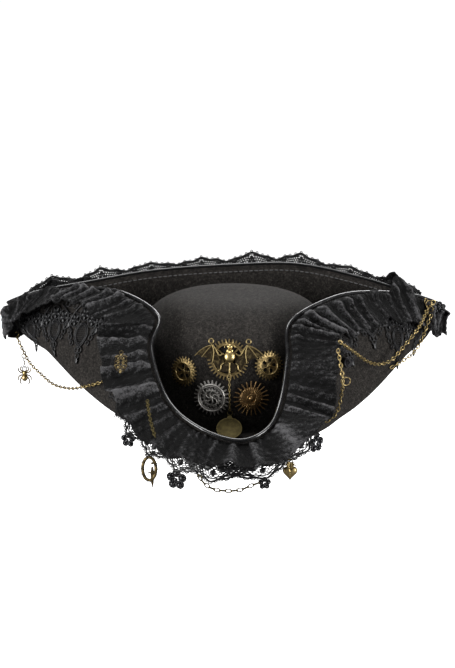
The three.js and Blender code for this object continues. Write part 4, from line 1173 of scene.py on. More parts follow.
def corded_motif(half, drop, seed):
    """Flat paths of one corded motif in millimetres about its middle line, below the top of the
    lace: open lines, rings as (x, y, radius), middles of flowers, and the middle of its drop."""
    x = np.linspace(-half, half, 25)
    lines = [xyz(x, v + 0.7 * np.cos(x * 1.9 + seed)) for v in (1.5, 5.0)]
    t = np.linspace(0, 1, 25)
    top, foot = SHIELD_TOP * drop, SHIELD_FOOT * drop
    rings = []
    for sign in (-1, 1):
        bulge = sign * SHIELD_WIDTH * half * shield_bulge(t)
        hook = 0.95 * half * np.sin(np.pi * (0.12 + 0.66 * t))
        lines += [
            xyz(bulge, mix(top, foot, t)),
            xyz(bulge * 0.8, mix(top + 1.6, foot - 2.2, t)),
            xyz(sign * hook, mix(0.2 * drop, 0.66 * drop, t)),
        ]
        for out, down, radius in MOTIF_RINGS:
            rings.append((sign * out * half, down * drop, radius))
        rings.append((sign * 2.6, 0.84 * drop, 2.6))
    rings += [(0.0, 0.92 * drop, 2.6), (0.0, 0.8 * drop, 1.8), (0.0, 0.14 * drop, 2.8)]
    flowers = [(x * half, y * drop) for x, y in ((-0.62, 0.42), (0.0, 0.34), (0.62, 0.42))]
    return lines, rings, flowers, (0.0, 0.985 * drop)


def shield_net(middle, half, drop):
    """Zigzag lines of the net inside a shield."""
    y = np.arange((SHIELD_TOP + 0.03) * drop, (SHIELD_FOOT - 0.03) * drop, 1.9)
    t = (y / drop - SHIELD_TOP) / (SHIELD_FOOT - SHIELD_TOP)
    wide = SHIELD_WIDTH * half * 0.8 * shield_bulge(t)
    zigzag = 0.55 * alternate(len(y))[:, None] * alternate(15)
    return xyz(middle + wide[:, None] * np.linspace(-1, 1, 15), y[:, None] - zigzag)


def corded_lace_solid(start, end, reach, thick):
    """Corded lace with one motif for each share in reach: cords, rings, stitched flowers, a net
    in each shield and a tear drop at each end, with short tear drops between the motifs."""
    length, put = flap_sheet(start, end)
    half = length / len(reach) / 2
    lines, rings, flowers, knobs, nets = [], [], [], [], []
    for k, share in enumerate(reach):
        middle, drop = (2 * k + 1) * half, 6 + GUIPURE_DROP * share * 0.98
        paths, hoops, blooms, knob = corded_motif(half * MOTIF_SHARE, drop, k)
        lines += [path + [middle, 0] for path in paths]
        rings += [(x + middle, y, r) for x, y, r in hoops]
        flowers += [(x + middle, y) for x, y in blooms]
        knobs.append((knob[0] + middle, knob[1]))
        nets.append(shield_net(middle, half * MOTIF_SHARE, drop))
        if k:
            seam, deep = 2 * k * half, GUIPURE_DROP * share
            knobs.append((seam, 6 + 0.5 * deep))
            rings += [(seam, 6 + 0.43 * deep, 2.1), (seam, 6 + 0.34 * deep, 2.3)]
    rings, flowers, knobs = np.array(rings), np.array(flowers), np.array(knobs)[:, None]
    t = np.linspace(0, 1, 8)
    tears = xyz(knobs[..., 0], knobs[..., 1] + mix(-3.4, 3.4, t))
    hoops, halos = loops(rings[:, :2], rings[:, 2], 14), loops(flowers, 6.9, 20)
    return join(
        threads(put, np.stack(lines), thick, thick * 0.9, sides=6),
        threads(put, hoops, thick * 0.95, thick * 0.85, 0.1, sides=6, closed=True),
        flower_threads(put, flowers, 6.4),
        threads(put, halos, thick * 0.9, thick * 0.8, closed=True),
        threads(put, np.concatenate(nets), 0.24, 0.24, sides=4),
        threads(put, np.concatenate([net_ties(net) for net in nets]), 0.24, 0.24, sides=4),
        threads(put, tears, swelling(t, 0.86, 0.06, 0.9) * 2.1, 0.7, 0.2, sides=8),
    )


# Metal ornaments, each in a local frame: x to the right, y up and z off the felt

def toothed(radius, root, teeth, base, tip):
    """Outline of a toothed wheel, with the tooth's base and tip as shares of the pitch."""
    offsets = np.array([-base, -tip, tip, base]) / 2
    angle = TAU * (np.arange(teeth)[:, None] + offsets) / teeth
    return polar(np.array([root, radius, radius, root]), angle).reshape(-1, 2)


def holes(count, ring, radius, start):
    """Round holes on a ring, as outlines that run the other way round."""
    return [circle(radius, 14, centre)[::-1] for centre in polar(ring, start + turns(count))]


def raised(solid, height):
    """A solid moved off the felt."""
    return place(solid, (0, 0, height))


def bent_wire(points, thick, height, flat=0.9, taper=1.0):
    """A wire through flat points, at a height."""
    path = smooth_route(xyz(*np.transpose(points), height), 0.6)
    wide = thick / 2 * np.linspace(1, taper, len(path))
    return tubes([path], wide, wide * flat, sides=8)


def wire_pair(points, thick, height, taper):
    """A bent wire and its mirror image across the y axis."""
    points = np.asarray(points, float)
    return [bent_wire(p, thick, height, taper=taper) for p in (points, points * [-1, 1])]


def spokes(count, reach, thick, height, shift):
    """Straight wires from the middle of a wheel outwards."""
    tips = polar(reach, turns(count, shift))
    return [bent_wire([(0, 0), tip], thick, height) for tip in tips]


def large_gear():
    """Thin ring with 34 long teeth, and four spokes behind the bat."""
    ring = cut_plate([toothed(18.4, 15.4, 34, 0.5, 0.3), circle(12.6, 48)[::-1]], 0.9)
    rim = raised(ring_wire(13.3, 1.0, count=64), 1.0)
    hub = turning([(0, 0), (3.6, 0), (3.4, 1.1), (0, 1.3)], 28)
    return join(ring, rim, *spokes(4, 13, 1.8, 0.5, 0.5), hub)


def side_gear():
    """Two rows of blunt teeth, a raised ring and a web with five round windows and a hub."""
    web = cut_plate([toothed(13.6, 10.7, 24, 0.62, 0.3)] + holes(5, 4.9, 1.75, 0.3), 0.8)
    teeth = turned_outline(toothed(11.6, 9.4, 24, 0.62, 0.34), 7.5)
    upper = cut_plate([teeth, circle(7.7, 40)[::-1]], 0.7)
    ring = raised(ring_wire(8.1, 1.3, count=56), 1.7)
    hub = turning([(0, 0.3), (2.1, 0.3), (1.9, 1.5), (0.8, 1.9), (0, 1.9)], 20)
    return join(web, raised(upper, 0.75), ring, hub, *spokes(5, 7.5, 1.0, 1.0, 0.98))


def turned_outline(outline, degrees):
    """A flat outline turned about its origin."""
    c, s = np.cos(np.radians(degrees)), np.sin(np.radians(degrees))
    return outline @ np.array([[c, s], [-s, c]])


def silver_gear():
    """Pointed teeth round a raised ring, over clockwork: a small cog, arms and rivets."""
    outer = cut_plate([toothed(16.3, 12.9, 26, 0.66, 0.2), circle(11.2, 48)[::-1]], 0.9)
    ring = raised(ring_wire(12.2, 1.4, count=64), 1.3)
    rope = raised(ring_wire(10.6, 0.8, count=64), 0.9)
    cog = raised(cut_plate([toothed(8.6, 7.2, 18, 0.6, 0.4), circle(6.2, 36)[::-1]], 0.7), 0.6)
    back = cut_plate([circle(11.4, 48)] + holes(6, 8.9, 1.2, 0.2) + holes(5, 4.4, 1.25, 0.5), 0.5)
    arm = np.array([(0, 0), (3.4, 1.8), (6.6, 0)])
    arms = [bent_wire(turned_outline(arm, turn), 0.9, 1.2) for turn in range(20, 380, 60)]
    rivets = [ball((x, y, 0.8), (0.55, 0.55, 0.5), 8, 5) for x, y in circle(9.7, 16)]
    hub = turning([(0, 0.4), (2.0, 0.4), (1.7, 1.7), (0.6, 2.2), (0, 2.2)], 20)
    return join(back, outer, ring, rope, cog, hub, *arms, *rivets)


def sunburst_gear():
    """Twenty-two long round-ended rays from a ribbed disc with a stepped hub."""
    t = np.array([0.0, 0.25, 0.5, 0.75, 0.92, 1.0])
    rays = polar(mix(9.0, 16.3, t), turns(22, 0.5)[:, None], 0.6)
    spikes = tubes(rays, np.array([0.95, 0.75, 0.62, 0.66, 0.6, 0.2]), 0.5, sides=8)
    t = np.linspace(0, 1, 5)
    ribs = polar(mix(4.6, 10.4, t), turns(32)[:, None], mix(1.75, 1.1, t))
    fins = tubes(ribs, np.linspace(0.2, 0.5, 5), 0.45)
    disc = turning([(0, 0), (10.6, 0), (10.6, 0.8), (7, 1.2), (4.2, 1.6), (0, 1.6)], 48)
    ring = raised(ring_wire(4.1, 0.9, count=36), 1.9)
    hub = turning([(0, 1.4), (2.6, 1.4), (2.3, 2.3), (1.2, 2.9), (0, 3.0)], 24)
    return join(spikes, disc, fins, ring, hub)


BAT_WRIST = (-15.4, 8.8)
BAT_TIPS = [(-31.2, -1.2), (-25.0, -2.4), (-15.4, -7.4), (-9.8, -14.2)]


def bat_wing():
    """One wing: a thin web with scalloped edges, three finger bones from the wrist, an arm with a
    bent elbow, a leg and the ring at the wrist."""
    wrist = np.array(BAT_WRIST)
    tips = np.array(BAT_TIPS)
    t = np.array([0.25, 0.5, 0.75])
    sag = 1.6 * np.sin(np.pi * t)[:, None] * [0.3, 1.0]
    edge = [wrist + (-0.3, 0.6), (-20.5, 7.2), (-25.2, 4.2), tips[0]]
    for a, b in zip(tips[:-1], tips[1:]):
        edge += [*(mix(a, b, t[:, None]) + sag), b]
    edge += [(-6.2, -8.4), (-4.0, -4.0), (-5.0, 0.6), (-9.2, -0.6), (-12.4, 4.0)]
    web = cut_plate([edge], 0.7, 0.08)
    bones = [
        bent_wire([wrist, (-21.2, 6.8), (-26.6, 3.4), tips[0]], 1.15, 0.95, taper=0.6),
        bent_wire([wrist, (-19.6, 4.6), tips[1]], 1.1, 0.95, taper=0.6),
        bent_wire([wrist, (-14.2, 1.6), tips[2]], 1.1, 0.95, taper=0.6),
        bent_wire([wrist, (-12.2, 4.4), (-9.2, -0.4), (-5.2, 1.0)], 1.35, 1.1),
        bent_wire([(-5.6, -7.2), (-7.4, -9.4), (-8.0, -12.6), tips[3]], 1.2, 1.0),
    ]
    ring = raised(ring_wire(2.1, 1.0, (*(wrist + (-1.3, 3.3)), 0), count=24), 0.9)
    foot = ball((*tips[3], 1.0), (0.9, 0.9, 0.8), 8, 5)
    return join(web, *bones, ring, foot)


def bat_solid():
    """The bat: two wings, a round belly, a horned head, legs with a web and a forked tail."""
    wing = bat_wing()
    points, faces = wing
    other = (points * [-1, 1, 1], [f[:, ::-1] for f in faces])
    skirt = np.array([(5.6, -7.6), (9.6, -13.8), (5.6, -15.4), (2.4, -15.2)])
    skirt = np.concatenate([[(0, -6.5)], skirt, [(0, -16.8)], skirt[::-1] * [-1, 1]])[::-1]
    return join(
        wing,
        other,
        ball((0, -1.5, 1.7), (4.9, 5.5, 3.4), 28, 14),
        ball((0, 3.6, 1.1), (3.2, 2.4, 1.6), 18, 9),
        ball((0, 7.4, 1.9), (2.6, 2.3, 1.9), 20, 10),
        ball((0, 6.5, 3.2), (1.3, 0.9, 0.9), 12, 7),
        *(ball((x, 7.9, 3.3), (0.5, 0.5, 0.4), 8, 5) for x in (-1.0, 1.0)),
        *wire_pair([(1.1, 9.0), (2.6, 10.6), (3.3, 12.6)], 1.3, 1.8, 0.3),
        *wire_pair([(2.2, 7.8), (4.0, 8.4), (4.6, 6.4)], 1.0, 1.6, 0.4),
        bent_wire([(0, -6.4), (0.1, -11), (0.1, -16.6)], 1.1, 1.0, taper=0.9),
        *wire_pair([(0.1, -16.4), (1.5, -19.0), (1.2, -21.6)], 1.0, 1.0, 0.3),
        cut_plate([skirt], 0.6, 0.08),
    )


def medallion_solid():
    """Plain round medallion with a low rim and a grained face, hung by its ring at the origin."""
    disc = turning(
        [
            (0, -0.6), (11.0, -0.6), (11.6, -0.2), (11.6, 0.5), (11.2, 0.8), (10.7, 0.75),
            (10.3, 0.45), (0, 0.45),
        ],
        72,
    )
    tab = np.array([(-1, -1.4), (1, -1.4), (0.85, 1.2), (0.6, 2.6), (-0.6, 2.6), (-0.85, 1.2)])
    plate = place(cut_plate([tab * [MEDALLION_NECK, 1]], 1.1), (0, MEDALLION_RADIUS, -0.55))
    high = MEDALLION_RADIUS + MEDALLION_STEM
    return place(join(disc, plate, ring_wire(2.3, 0.95, (0, high, 0))), (0, -high, 0))


def spider_solid():
    """Spider with a round abdomen, a small thorax and eight bent legs, on a short chain between
    two rings."""
    reach, low = SPIDER_REACH, -SPIDER_DROP
    links = [(0, 0.4, 0), (0, 0.3 * low, 0), (0, 1.6 + 0.8 * low, 0)]
    parts = [
        ball((0, low - 1.05 * reach, 0.2), (0.44 * reach, 0.52 * reach, 0.4 * reach), 20, 10),
        ball((0, low - 0.3 * reach, 0), (0.32 * reach, 0.38 * reach, 0.26 * reach), 16, 8),
        ring_wire(0.34 * reach, RING_WIRE, (0, 0.45 * reach, 0)),
        ring_wire(0.34 * reach, RING_WIRE, (0, low + 0.38 * reach, 0)),
        chain_solid(links, 4.2, 2.4, 0.7, view=UP),
    ]
    for leg in (
        [(0.1, -0.2), (0.6, 0.25), (0.55, 0.62), (0.34, 0.75)],
        [(0.1, -0.35), (0.72, -0.1), (0.95, 0.25), (0.92, 0.5)],
        [(0.1, -0.5), (0.75, -0.7), (0.98, -1.05), (0.95, -1.4)],
        [(0.1, -0.6), (0.55, -1.1), (0.72, -1.6), (0.55, -2.05)],
    ):
        parts += wire_pair(np.array(leg) * reach + (0, low), 1.6, 0, 0.65)
    return join(*parts)


def thorn_solid():
    """Oval ring of briar with thorns, and a small dagger that hangs across its side."""
    half = THORN_HEIGHT / 2

    def briar(angle, *wave):
        return xyz(0.55 * half * np.sin(angle), half * np.cos(angle) - half, *wave)

    angle = turns(48)
    parts = [tubes([briar(angle, 0.35 * np.sin(9 * angle))], 1.5, 1.2, sides=8, closed=True)]
    angle = turns(14, 0.4)
    for root, out in zip(briar(angle), unit(xyz(np.sin(angle + 0.5), np.cos(angle + 0.5)))):
        parts.append(bent_wire([root, root + out * 1.4, root + out * 2.8], 1.5, 0, taper=0.15))
    x, y = 0.25 * half, -1.35 * half
    blade = [(-1.7, 0), (-1.2, -9), (0, -14.6), (1.2, -9), (1.7, 0), (0.8, 5.6), (-0.8, 5.6)]
    return join(
        *parts,
        place(cut_plate([np.array(blade) + (x, y)], 1.1, 0.25), (0, 0, -0.2)),
        bent_wire([(x - 4, y), (x, -1.32 * half), (x + 4, y)], 1.3, 0.4),
        ball((x, 1.5 - 0.65 * half, 0.4), (1.2, 1.2, 1.0), 12, 7),
        ring_wire(0.24 * half, RING_WIRE, (0, 0.18 * half, 0)),
    )


def heart_solid():
    """Puffed heart padlock with a dark rim, a small pair of wings on top, and a ring. Its outline
    is sin^3 across, and a sum of four cosines up."""
    half = HEART_WIDTH / 2
    angle = turns(40)[:, None]
    x = np.sin(angle) ** 3
    y = 13 * np.cos(angle) - 5 * np.cos(2 * angle) - 2 * np.cos(3 * angle) - np.cos(4 * angle)

    def heart(share, height):
        return xyz(x * share * half, (y / 16 * share - 0.12) * half * 1.08, height)

    t = np.linspace(0.02, 1, 9)
    body = shell(heart(t, np.sqrt(1 - t ** 2) * 0.42 * half), 0.9, wrap=True)
    rim = tubes([heart(1, 0.0)[:, 0]], 0.65, 0.9, sides=8, closed=True)
    wings = []
    for k in range(3):
        wing = np.array([(0.6, 0.72), (2.6, 1.35), (4.4, 1.2), (5.6, 1.5)]) + (0, 0.28 * k)
        wings += wire_pair(wing * [1 - 0.2 * k, half * 0.8], 1.3, 1.2, 0.5)
    plate = cut_plate([circle(0.55 * half, 24, (0, 0.95 * half))], 1.4)
    ring = ring_wire(0.35 * half, RING_WIRE, (0, 1.55 * half, 0.3))
    return join(body, rim, plate, ring, *wings)


def filigree_solid():
    """Openwork charm of scrolls round an oval, with small balls and a ring at its top."""
    parts = []
    angle = np.linspace(0.4, 5.6, 22)
    for sign in (-1, 1):
        for middle, radius in ((4.3, 3.0), (-4.3, 3.0), (0.0, 2.2)):
            scroll = polar(radius * np.linspace(1, 0.35, 22), angle) + (2.5, middle)
            parts.append(bent_wire(scroll * [sign, 1], 1.1, 0.7, flat=1.0, taper=0.8))
            parts.append(ball((sign * 2.4, middle, 0.9), (0.9, 0.9, 0.8), 10, 6))
    parts += [ball((0, y, 0.8), (1.1, 1.1, 0.9), 12, 7) for y in (-9.3, -7.4, 7.6)]
    angle = TAU * np.arange(33) / 32
    parts.append(bent_wire(xyz(5.2 * np.sin(angle), 8.6 * np.cos(angle)), 1.0, 0.5))
    parts.append(ring_wire(1.6, RING_WIRE, (0, 10.2, 0.6)))
    return join(*parts)


def beaded_flower(radius):
    """Flower of beads: each petal a large bead in a ring of small ones, round a middle bead."""
    parts = [ball((0, 0, 1.6), (0.2 * radius, 0.2 * radius, 1.4), 12, 7)]
    middles = polar(0.6 * radius, turns(5) + 0.3)
    for middle in middles:
        parts.append(ball((*middle, 0.9), (0.21 * radius, 0.21 * radius, 1.5), 10, 6))
        for small in circle(0.33 * radius, 9, middle):
            parts.append(ball((*small, 0.4), [0.095 * radius] * 3, 7, 5))
    for middle in middles:
        parts.append(place(cut_plate([circle(0.42 * radius, 18, middle)], 0.7), (0, 0, -0.6)))
    return join(*parts)


def rose_solid(radius):
    """Satin rose: a ribbon rolled in a spiral whose outer turns open outwards."""
    u = np.linspace(0, 1, 90)[:, None]
    v = np.linspace(0, 1, 9)
    angle = TAU * 3.6 * u ** 0.8
    flare = 0.12 + 0.9 * u * v ** 2
    spread = radius * (0.08 + 0.62 * u + 0.3 * flare * u + 0.05 * np.sin(7 * angle) * v)
    height = 0.1 + radius * mix(0.75, 0.34, u) * np.sin(np.pi / 2 * v)
    grid = polar(spread, angle, height + 0.35 * np.sin(5 * angle + 1) * v)
    base = turning([(0, 0), (0.8 * radius, 0), (0.7 * radius, 0.3 * radius), (0, 0.35 * radius)], 24)
    return join(shell(grid, 0.5), base)


def copies(solid, origins, axes):
    """Many copies of a solid: axes holds, for each, the directions of its x, y and z."""
    points, faces = solid
    placed = np.einsum("pk,nkc->npc", points, axes) + origins[:, None]
    base = (np.arange(len(origins)) * len(points))[:, None, None]
    return placed.reshape(-1, 3), [(f[None] + base).reshape(-1, f.shape[1]) for f in faces]


def chain_solid(route, length, width, wire, view=(0, -0.97, 0.24)):
    """Links along a route: every second one faces the view, those between are turned from it."""
    path = smooth_route(route, length - 2 * wire)
    middle = (path[:-1] + path[1:]) / 2
    ahead = unit(path[1:] - path[:-1])
    across = unit(np.cross(view, ahead))
    off = np.cross(ahead, across)
    roll = np.radians(12 + 84 * (np.arange(len(middle)) % 2))[:, None]
    side = across * np.cos(roll) + off * np.sin(roll)
    oval = polar(1.0, turns(12), 0.0) * [(length - wire) / 2, (width - wire) / 2, 1]
    link = tubes([oval], wire / 2, wire / 2, sides=5, closed=True)
    return copies(link, middle, np.stack([ahead, side, np.cross(ahead, side)], 1))


def jump_ring(middle, radius, turn):
    """A jump ring about a point, turned from the front about the vertical by degrees."""
    c, d = np.cos(np.radians(turn)), np.sin(np.radians(turn))
    axes = [[c, d, 0], [0, 0, 1], [d, -c, 0]]
    return place(ring_wire(radius, RING_WIRE, count=20), middle, axes)


# Operators: each makes a group of pieces and hides the nodes of the frame that they stand for

def sizes():
    """The sizes that a user can change."""
    return bpy.context.scene.hat_sizes


def finished(piece, slot, *nodes):
    """A piece that stands for nodes of the frame, which it hides. Its slot is not used."""
    if nodes:
        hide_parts(*nodes)
    return piece


def length_property(name, description, default, low):
    """A length property."""
    return bpy.props.FloatProperty(
        name=name, description=description, default=default, min=low, unit="LENGTH"
    )


def colour_property(name, description, default):
    """A colour property."""
    return bpy.props.FloatVectorProperty(
        name=name, description=description, default=default, size=3, min=0, max=1, subtype="COLOR"
    )


def look(node, solid, finish, slot, rise=None):
    """The piece that stands for one node of the frame."""
    return finished(make_piece(node + "_look", solid, material(finish), rise=rise), slot, node)


def metal_piece(node, solid, finish, slot, seat, low=0.0, full=2.0):
    """A metal ornament on its seat of (origin, axes): its rise, for the finish, is its height off
    its back from low to full."""
    rise = np.clip((solid[0][:, 2] - low) / (full - low), 0, 1)
    return look(node, place(solid, *seat), finish, slot, rise)


def box_seat(node, top):
    """(origin, axes) for a solid whose highest point is at the given y, upright under the top of
    a node's box and facing the front."""
    low, high = np.array(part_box(node)) / MM
    origin = ((low[0] + high[0]) / 2, (low[1] + high[1]) / 2, high[2] - top)
    return origin, [[1, 0, 0], [0, 0, 1], [0, -1, 0]]


def ruffle_seat(s, share):
    """(origin, axes) for the filigree charm, which stands on the front ruffle at a share of its
    depth and leans out."""
    width = RUFFLE_WIDTH * along("ruffle", s)
    crest = PLEAT_HEIGHT * mix(0.06, 1, share)
    here, below = (
        trim_point(
            np.array(s), share * width, along("ruffleFlare", s), RUFFLE_SINK,
            FELT_WALL / 2 + 2 * SEAT_GAP + LACE_WALL, crest + lift,
        )
        for lift in (RUFFLE_WALL, 0.0)
    )
    out = unit(here - below)
    side = unit(np.cross(UP, out))
    up = np.cross(out, side)
    c, d = np.cos(CHARM_LEAN), np.sin(CHARM_LEAN)
    return here + out * FILIGREE_HEIGHT / 2 * d, [side, up * c + out * d, out * c - up * d]


class HatSizes(bpy.types.PropertyGroup):
    """Sizes of the parts that the frame leaves to the look."""

    stitch_pitch: length_property("Stitch pitch", "Distance between stitches", 0.0052, 0.002)
    lace_thread: length_property("Net thread", "Half the thickness of the net's thread", 0.0004, 0.0001)
    net_cell: length_property("Net cell", "Width of a cell of the net", 0.0023, 0.001)
    lace_cord: length_property("Lace cord", "Thickness of the corded lace's cord", 0.0013, 0.0004)
    link_length: length_property("Link length", "Length of a chain link", 0.0058, 0.002)
    link_width: length_property("Link width", "Width of a chain link", 0.0037, 0.001)
    link_wire: length_property("Link wire", "Thickness of a link's wire", 0.00105, 0.0003)


class HatColours(bpy.types.PropertyGroup):
    """Colours of the hat's main materials."""

    felt: colour_property("Felt", "Colour of the felt", (0.0185, 0.0165, 0.0148))
    leather: colour_property("Piping", "Colour of the edge piping", (0.006, 0.006, 0.0065))
    ruffle: colour_property("Ruffle", "Colour of the ruffles' cloth", (0.0082, 0.0081, 0.0084))
    lace: colour_property("Lace", "Colour of the lace thread", (0.006, 0.006, 0.0065))
    brass: colour_property("Gold plate", "Colour of the bright metal", (0.5, 0.38, 0.17))


class HAT_OT_felt(bpy.types.Operator):
    """Makes the felt crown and brim"""

    bl_idname = "hat.felt"
    bl_label = "Felt Body"

    def execute(self, context):
        piece = make_piece("felt_look", felt_solid(FELT_WALL), material("felt"))
        finished(piece, "felt", "felt_body")
        return {"FINISHED"}


class HAT_OT_edge(bpy.types.Operator):
    """Makes the rolled piping round the edge and the row of stitches inside it"""

    bl_idname = "hat.edge"
    bl_label = "Edge Piping"

    def execute(self, context):
        piping = make_piece("piping_look", piping_solid(0.85 * PIPING_RADIUS), material("leather"))
        finished(piping, "piping_leather", "edge_piping")
        stitches = stitch_solid(STITCH_DEPTH, sizes().stitch_pitch / MM)
        finished(make_piece("stitches_look", stitches, material("stitch")), "lace_thread")
        return {"FINISHED"}


class HAT_OT_ruffles(bpy.types.Operator):
    """Makes the pleated ruffles under the front edge and the back edge"""

    bl_idname = "hat.ruffles"
    bl_label = "Ruffles"

    def execute(self, context):
        cover = 2 * SEAT_GAP + LACE_WALL + RUFFLE_WALL / 2
        front = (RIGHT_TIP - SECTION_COUNT + TIP_GAP, LEFT_TIP - TIP_GAP, FELT_WALL / 2 + cover)
        back = (LEFT_TIP + TIP_GAP, RIGHT_TIP - TIP_GAP, PIPING_RADIUS + cover)
        for node, run, steps, rows in (
            ("ruffle_front", front, 1500, 30), ("ruffle_back", back, 900, 22)
        ):
            piece, flat = ruffle_piece(node + "_look", *run, steps, rows)
            finished(piece, "ruffle_cloth", node)
        return {"FINISHED"}


class HAT_OT_net_lace(bpy.types.Operator):
    """Makes the net lace under the front ruffle and above the back edge"""

    bl_idname = "hat.net_lace"
    bl_label = "Net Lace"

    def execute(self, context):
        thread, cell = sizes().lace_thread / MM, sizes().net_cell / MM
        for node, sheet, clear in (
            ("lace_front", front_lace_sheet(), 1.0), ("lace_back", back_lace_sheet(), 0.2)
        ):
            look(node, net_lace_solid(sheet, thread, cell, clear), "lace", "lace_thread")
        return {"FINISHED"}


class HAT_OT_corded_lace(bpy.types.Operator):
    """Makes the corded lace on the outer faces of the two flaps"""

    bl_idname = "hat.corded_lace"
    bl_label = "Corded Lace"

    def execute(self, context):
        cord = sizes().lace_cord / MM / 2
        for node, start, end, reach in (
            ("lace_left", 4.6, 7.6, (0.8, 1.05, 0.9, 0.75)),
            ("lace_right", 16.5, 19.4, (0.8, 1.05, 0.75, 0.95)),
        ):
            look(node, corded_lace_solid(start, end, reach, cord), "cord", "lace_thread")
        return {"FINISHED"}


class HAT_OT_gears(bpy.types.Operator):
    """Makes the five gears on the crown"""

    bl_idname = "hat.gears"
    bl_label = "Gears"

    def execute(self, context):
        for node, solid, finish, slot, turn in (
            ("gear_large", large_gear(), "bronze", "antique_brass", 3),
            ("gear_left", side_gear(), "bronze", "dark_bronze", 10),
            ("gear_right", side_gear(), "bronze", "dark_bronze", -16),
            ("gear_silver", silver_gear(), "gunmetal", "gunmetal", 4),
            ("gear_sunburst", sunburst_gear(), "copper", "copper", 0),
        ):
            metal_piece(node, turned(solid, turn), finish, slot, crown_seat(node))
        return {"FINISHED"}


class HAT_OT_bat(bpy.types.Operator):
    """Makes the bat over the large gear"""

    bl_idname = "hat.bat"
    bl_label = "Bat"

    def execute(self, context):
        seat = crown_seat("gear_large", 1, BAT_SHIFT)
        metal_piece("bat", bat_solid(), "brass", "antique_brass", seat, low=0.45, full=2.2)
        return {"FINISHED"}


class HAT_OT_medallion(bpy.types.Operator):
    """Makes the medallion and the short chain that holds it"""

    bl_idname = "hat.medallion"
    bl_label = "Medallion"

    def execute(self, context):
        point, (side, up, out) = crown_axes(*CROWN_PLACES["pendant"])
        hold = point + out * (FELT_WALL / 2 + 2 * PLATE_WALL)
        brim_top = FELT_WALL / 2 + SEAT_GAP - HEAD_DIP
        reach = 2 * MEDALLION_RADIUS + MEDALLION_STEM + PLATE_WALL / 2
        lean = np.arccos(min(1.0, (point[2] - brim_top) / reach))
        rise = np.cos(lean) * UP - np.sin(lean) * unit(np.cross(side, UP))
        seat = hold, [side, rise, np.cross(side, rise)]
        solid = medallion_solid()
        metal_piece("medallion", solid, "old_bronze", "dark_bronze", seat, low=-0.9, full=1.4)
        point, axes = crown_axes(*CROWN_PLACES["gear_large"])
        start = point + BAT_TAIL @ axes
        middle = (start + hold) / 2 + out * 0.8
        chain = chain_solid([start, middle, hold + up * 2.2], 3.6, 2.2, 0.65)
        bright = np.full(len(chain[0]), 0.6)
        piece = make_piece("pendant_chain_look", chain, material("brass"), rise=bright)
        finished(piece, "antique_brass")
        return {"FINISHED"}


class HAT_OT_chains(bpy.types.Operator):
    """Makes the chains link by link along their routes"""

    bl_idname = "hat.chains"
    bl_label = "Chains"

    def execute(self, context):
        group = sizes()
        length, width, wire = (v / MM for v in (group.link_length, group.link_width, group.link_wire))
        for node, route in CHAIN_ROUTES.items():
            large = LARGE_LINKS.get(node, 1.0)
            finish = "old_bronze" if node in LARGE_LINKS else "brass"
            links = chain_solid(route, length * large, width * (1 + large) / 2, wire)
            solid = join(links, *(jump_ring(*spec) for spec in EXTRA_RINGS.get(node, ())))
            bright = 0.6 + 0.4 * np.sin(solid[0].sum(axis=1) * 1.7)
            look(node, solid, finish, "antique_brass", bright)
        return {"FINISHED"}


class HAT_OT_charms(bpy.types.Operator):
    """Makes the spider, the thorn ring, the heart padlock and the filigree charm"""

    bl_idname = "hat.charms"
    bl_label = "Charms"

    def execute(self, context):
        for node, solid, top, finish, slot, full in (
            ("spider", spider_solid(), 0.79 * SPIDER_REACH, "brass", "antique_brass", 1.6),
            ("thorn_charm", thorn_solid(), 0.21 * THORN_HEIGHT, "bronze", "dark_bronze", 3.2),
            ("heart_padlock", heart_solid(), 0.95 * HEART_WIDTH, "brass", "antique_brass", 2.6),
        ):
            metal_piece(node, solid, finish, slot, box_seat(node, top), full=full)
        seat = ruffle_seat(*FILIGREE_PLACE)
        solid = filigree_solid()
        metal_piece("filigree_charm", solid, "brass", "antique_brass", seat, low=0.6, full=2.6)
        return {"FINISHED"}


class HAT_OT_flowers(bpy.types.Operator):
    """Makes the beaded flowers on the lace hem and the satin roses on the right flap"""

    bl_idname = "hat.flowers"
    bl_label = "Flowers"

    def execute(self, context):
        length, _, depth, put = front_lace_sheet()
        for node, column, radius in (
            ("flower_front_left", 26, 9.4), ("flower_front_right", 18, 5.6),
            ("flower_left", 34, 6.8), ("flower_right", 10, 8.4),
        ):
            q = np.array([column - 1, column + 1]) * length / LACE_COLUMNS
            ends = put(q, np.full(2, depth), np.zeros(2))
            side = unit((ends[0] - ends[1]) * [1, 1, 0])
            out = unit(np.array([side[1], -side[0] - 0.9, 0]))
            middle = np.mean(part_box(node), axis=0) / MM
            solid = place(beaded_flower(radius), middle, [(-out[1], out[0], 0), UP, out])
            look(node, solid, "bead", "black_bead")
        axes = [[1, 0, 0], [0, -0.25, 0.97], [0, -0.97, -0.25]]
        solid = place(beaded_flower(TIP_FLOWER_RADIUS), TIP_FLOWER, axes)
        finished(make_piece("tip_flower", solid, material("bead")), "black_bead")
        lift = GUIPURE_SEAT + GUIPURE_WALL + SEAT_GAP
        for node, s, depth in (("rose_upper", 19.22, 46.0), ("rose_lower", 19.26, 59.5)):
            seat, above = (face_point(s, np.array(depth), off) for off in (lift, 1 + lift))
            out = unit(above - seat)
            side = unit(np.cross(UP, out))
            solid = place(rose_solid(ROSE_RADIUS), seat, [side, np.cross(out, side), out])
            look(node, solid, "satin", "rose_cloth")
        return {"FINISHED"}


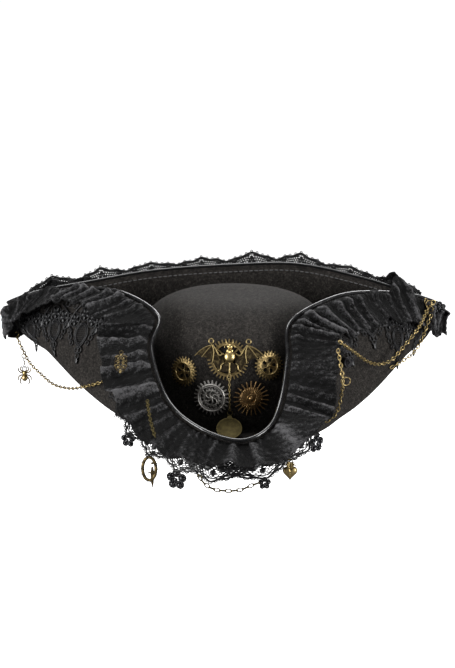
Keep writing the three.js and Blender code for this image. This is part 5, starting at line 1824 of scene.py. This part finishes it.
class HAT_OT_stage(bpy.types.Operator):
    """Sets the floor, the soft lights and the camera"""

    bl_idname = "hat.stage"
    bl_label = "Stage"

    def execute(self, context):
        scene = context.scene
        bpy.ops.mesh.primitive_plane_add(size=80, location=(0, 0, -0.3))
        floor = context.object
        floor.name = "floor"
        floor.data.materials.append(material("floor"))
        floor.visible_diffuse = False
        floor.visible_glossy = False
        world = bpy.data.worlds.new("studio")
        scene.world = world
        world.use_nodes = True
        background = world.node_tree.nodes["Background"]
        background.inputs["Color"].default_value = (1, 1, 1, 1)
        background.inputs["Strength"].default_value = 0.2
        for name, energy, size, location, aim in LIGHTS:
            light = bpy.data.lights.new(name, "AREA")
            light.energy = energy
            light.size = size
            lamp = bpy.data.objects.new(name, light)
            lamp.location = location
            ahead = Vector(aim) - Vector(location)
            lamp.rotation_euler = ahead.to_track_quat("-Z", "Y").to_euler()
            scene.collection.objects.link(lamp)
        camera = bpy.data.cameras.new("camera")
        camera.lens = CAMERA_LENS
        camera.sensor_width = 36
        camera.clip_end = 100
        eye = bpy.data.objects.new("camera", camera)
        eye.location = CAMERA_PLACE
        eye.rotation_euler = (np.radians(CAMERA_TILT), 0, 0)
        scene.collection.objects.link(eye)
        scene.camera = eye
        scene.view_settings.view_transform = "Standard"
        return {"FINISHED"}


OPERATORS = (
    HAT_OT_felt, HAT_OT_edge, HAT_OT_ruffles, HAT_OT_net_lace, HAT_OT_corded_lace, HAT_OT_gears,
    HAT_OT_bat, HAT_OT_medallion, HAT_OT_chains, HAT_OT_charms, HAT_OT_flowers, HAT_OT_stage,
)


class HAT_PT_panel(bpy.types.Panel):
    """Lists the hat's pieces, sizes and colours"""

    bl_idname = "HAT_PT_panel"
    bl_label = "Tricorn Hat"
    bl_space_type = "VIEW_3D"
    bl_region_type = "UI"
    bl_category = "Tricorn"

    def draw(self, context):
        layout = self.layout
        for operator in OPERATORS:
            layout.operator(operator.bl_idname)
        for group in (context.scene.hat_sizes, context.scene.hat_colours):
            for name in group.__annotations__:
                layout.prop(group, name)


CLASSES = (HatSizes, HatColours, *OPERATORS, HAT_PT_panel)


def register():
    """Registers the classes and the two groups of properties."""
    for cls in CLASSES:
        bpy.utils.register_class(cls)
    bpy.types.Scene.hat_sizes = bpy.props.PointerProperty(type=HatSizes)
    bpy.types.Scene.hat_colours = bpy.props.PointerProperty(type=HatColours)


def unregister():
    """Takes the groups and the classes away again."""
    del bpy.types.Scene.hat_colours
    del bpy.types.Scene.hat_sizes
    for cls in reversed(CLASSES):
        bpy.utils.unregister_class(cls)


def main():
    """Builds the whole hat on its stage."""
    register()
    for operator in OPERATORS:
        group, name = operator.bl_idname.split(".")
        getattr(getattr(bpy.ops, group), name)()
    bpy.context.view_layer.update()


if __name__ == "__main__":
    main()
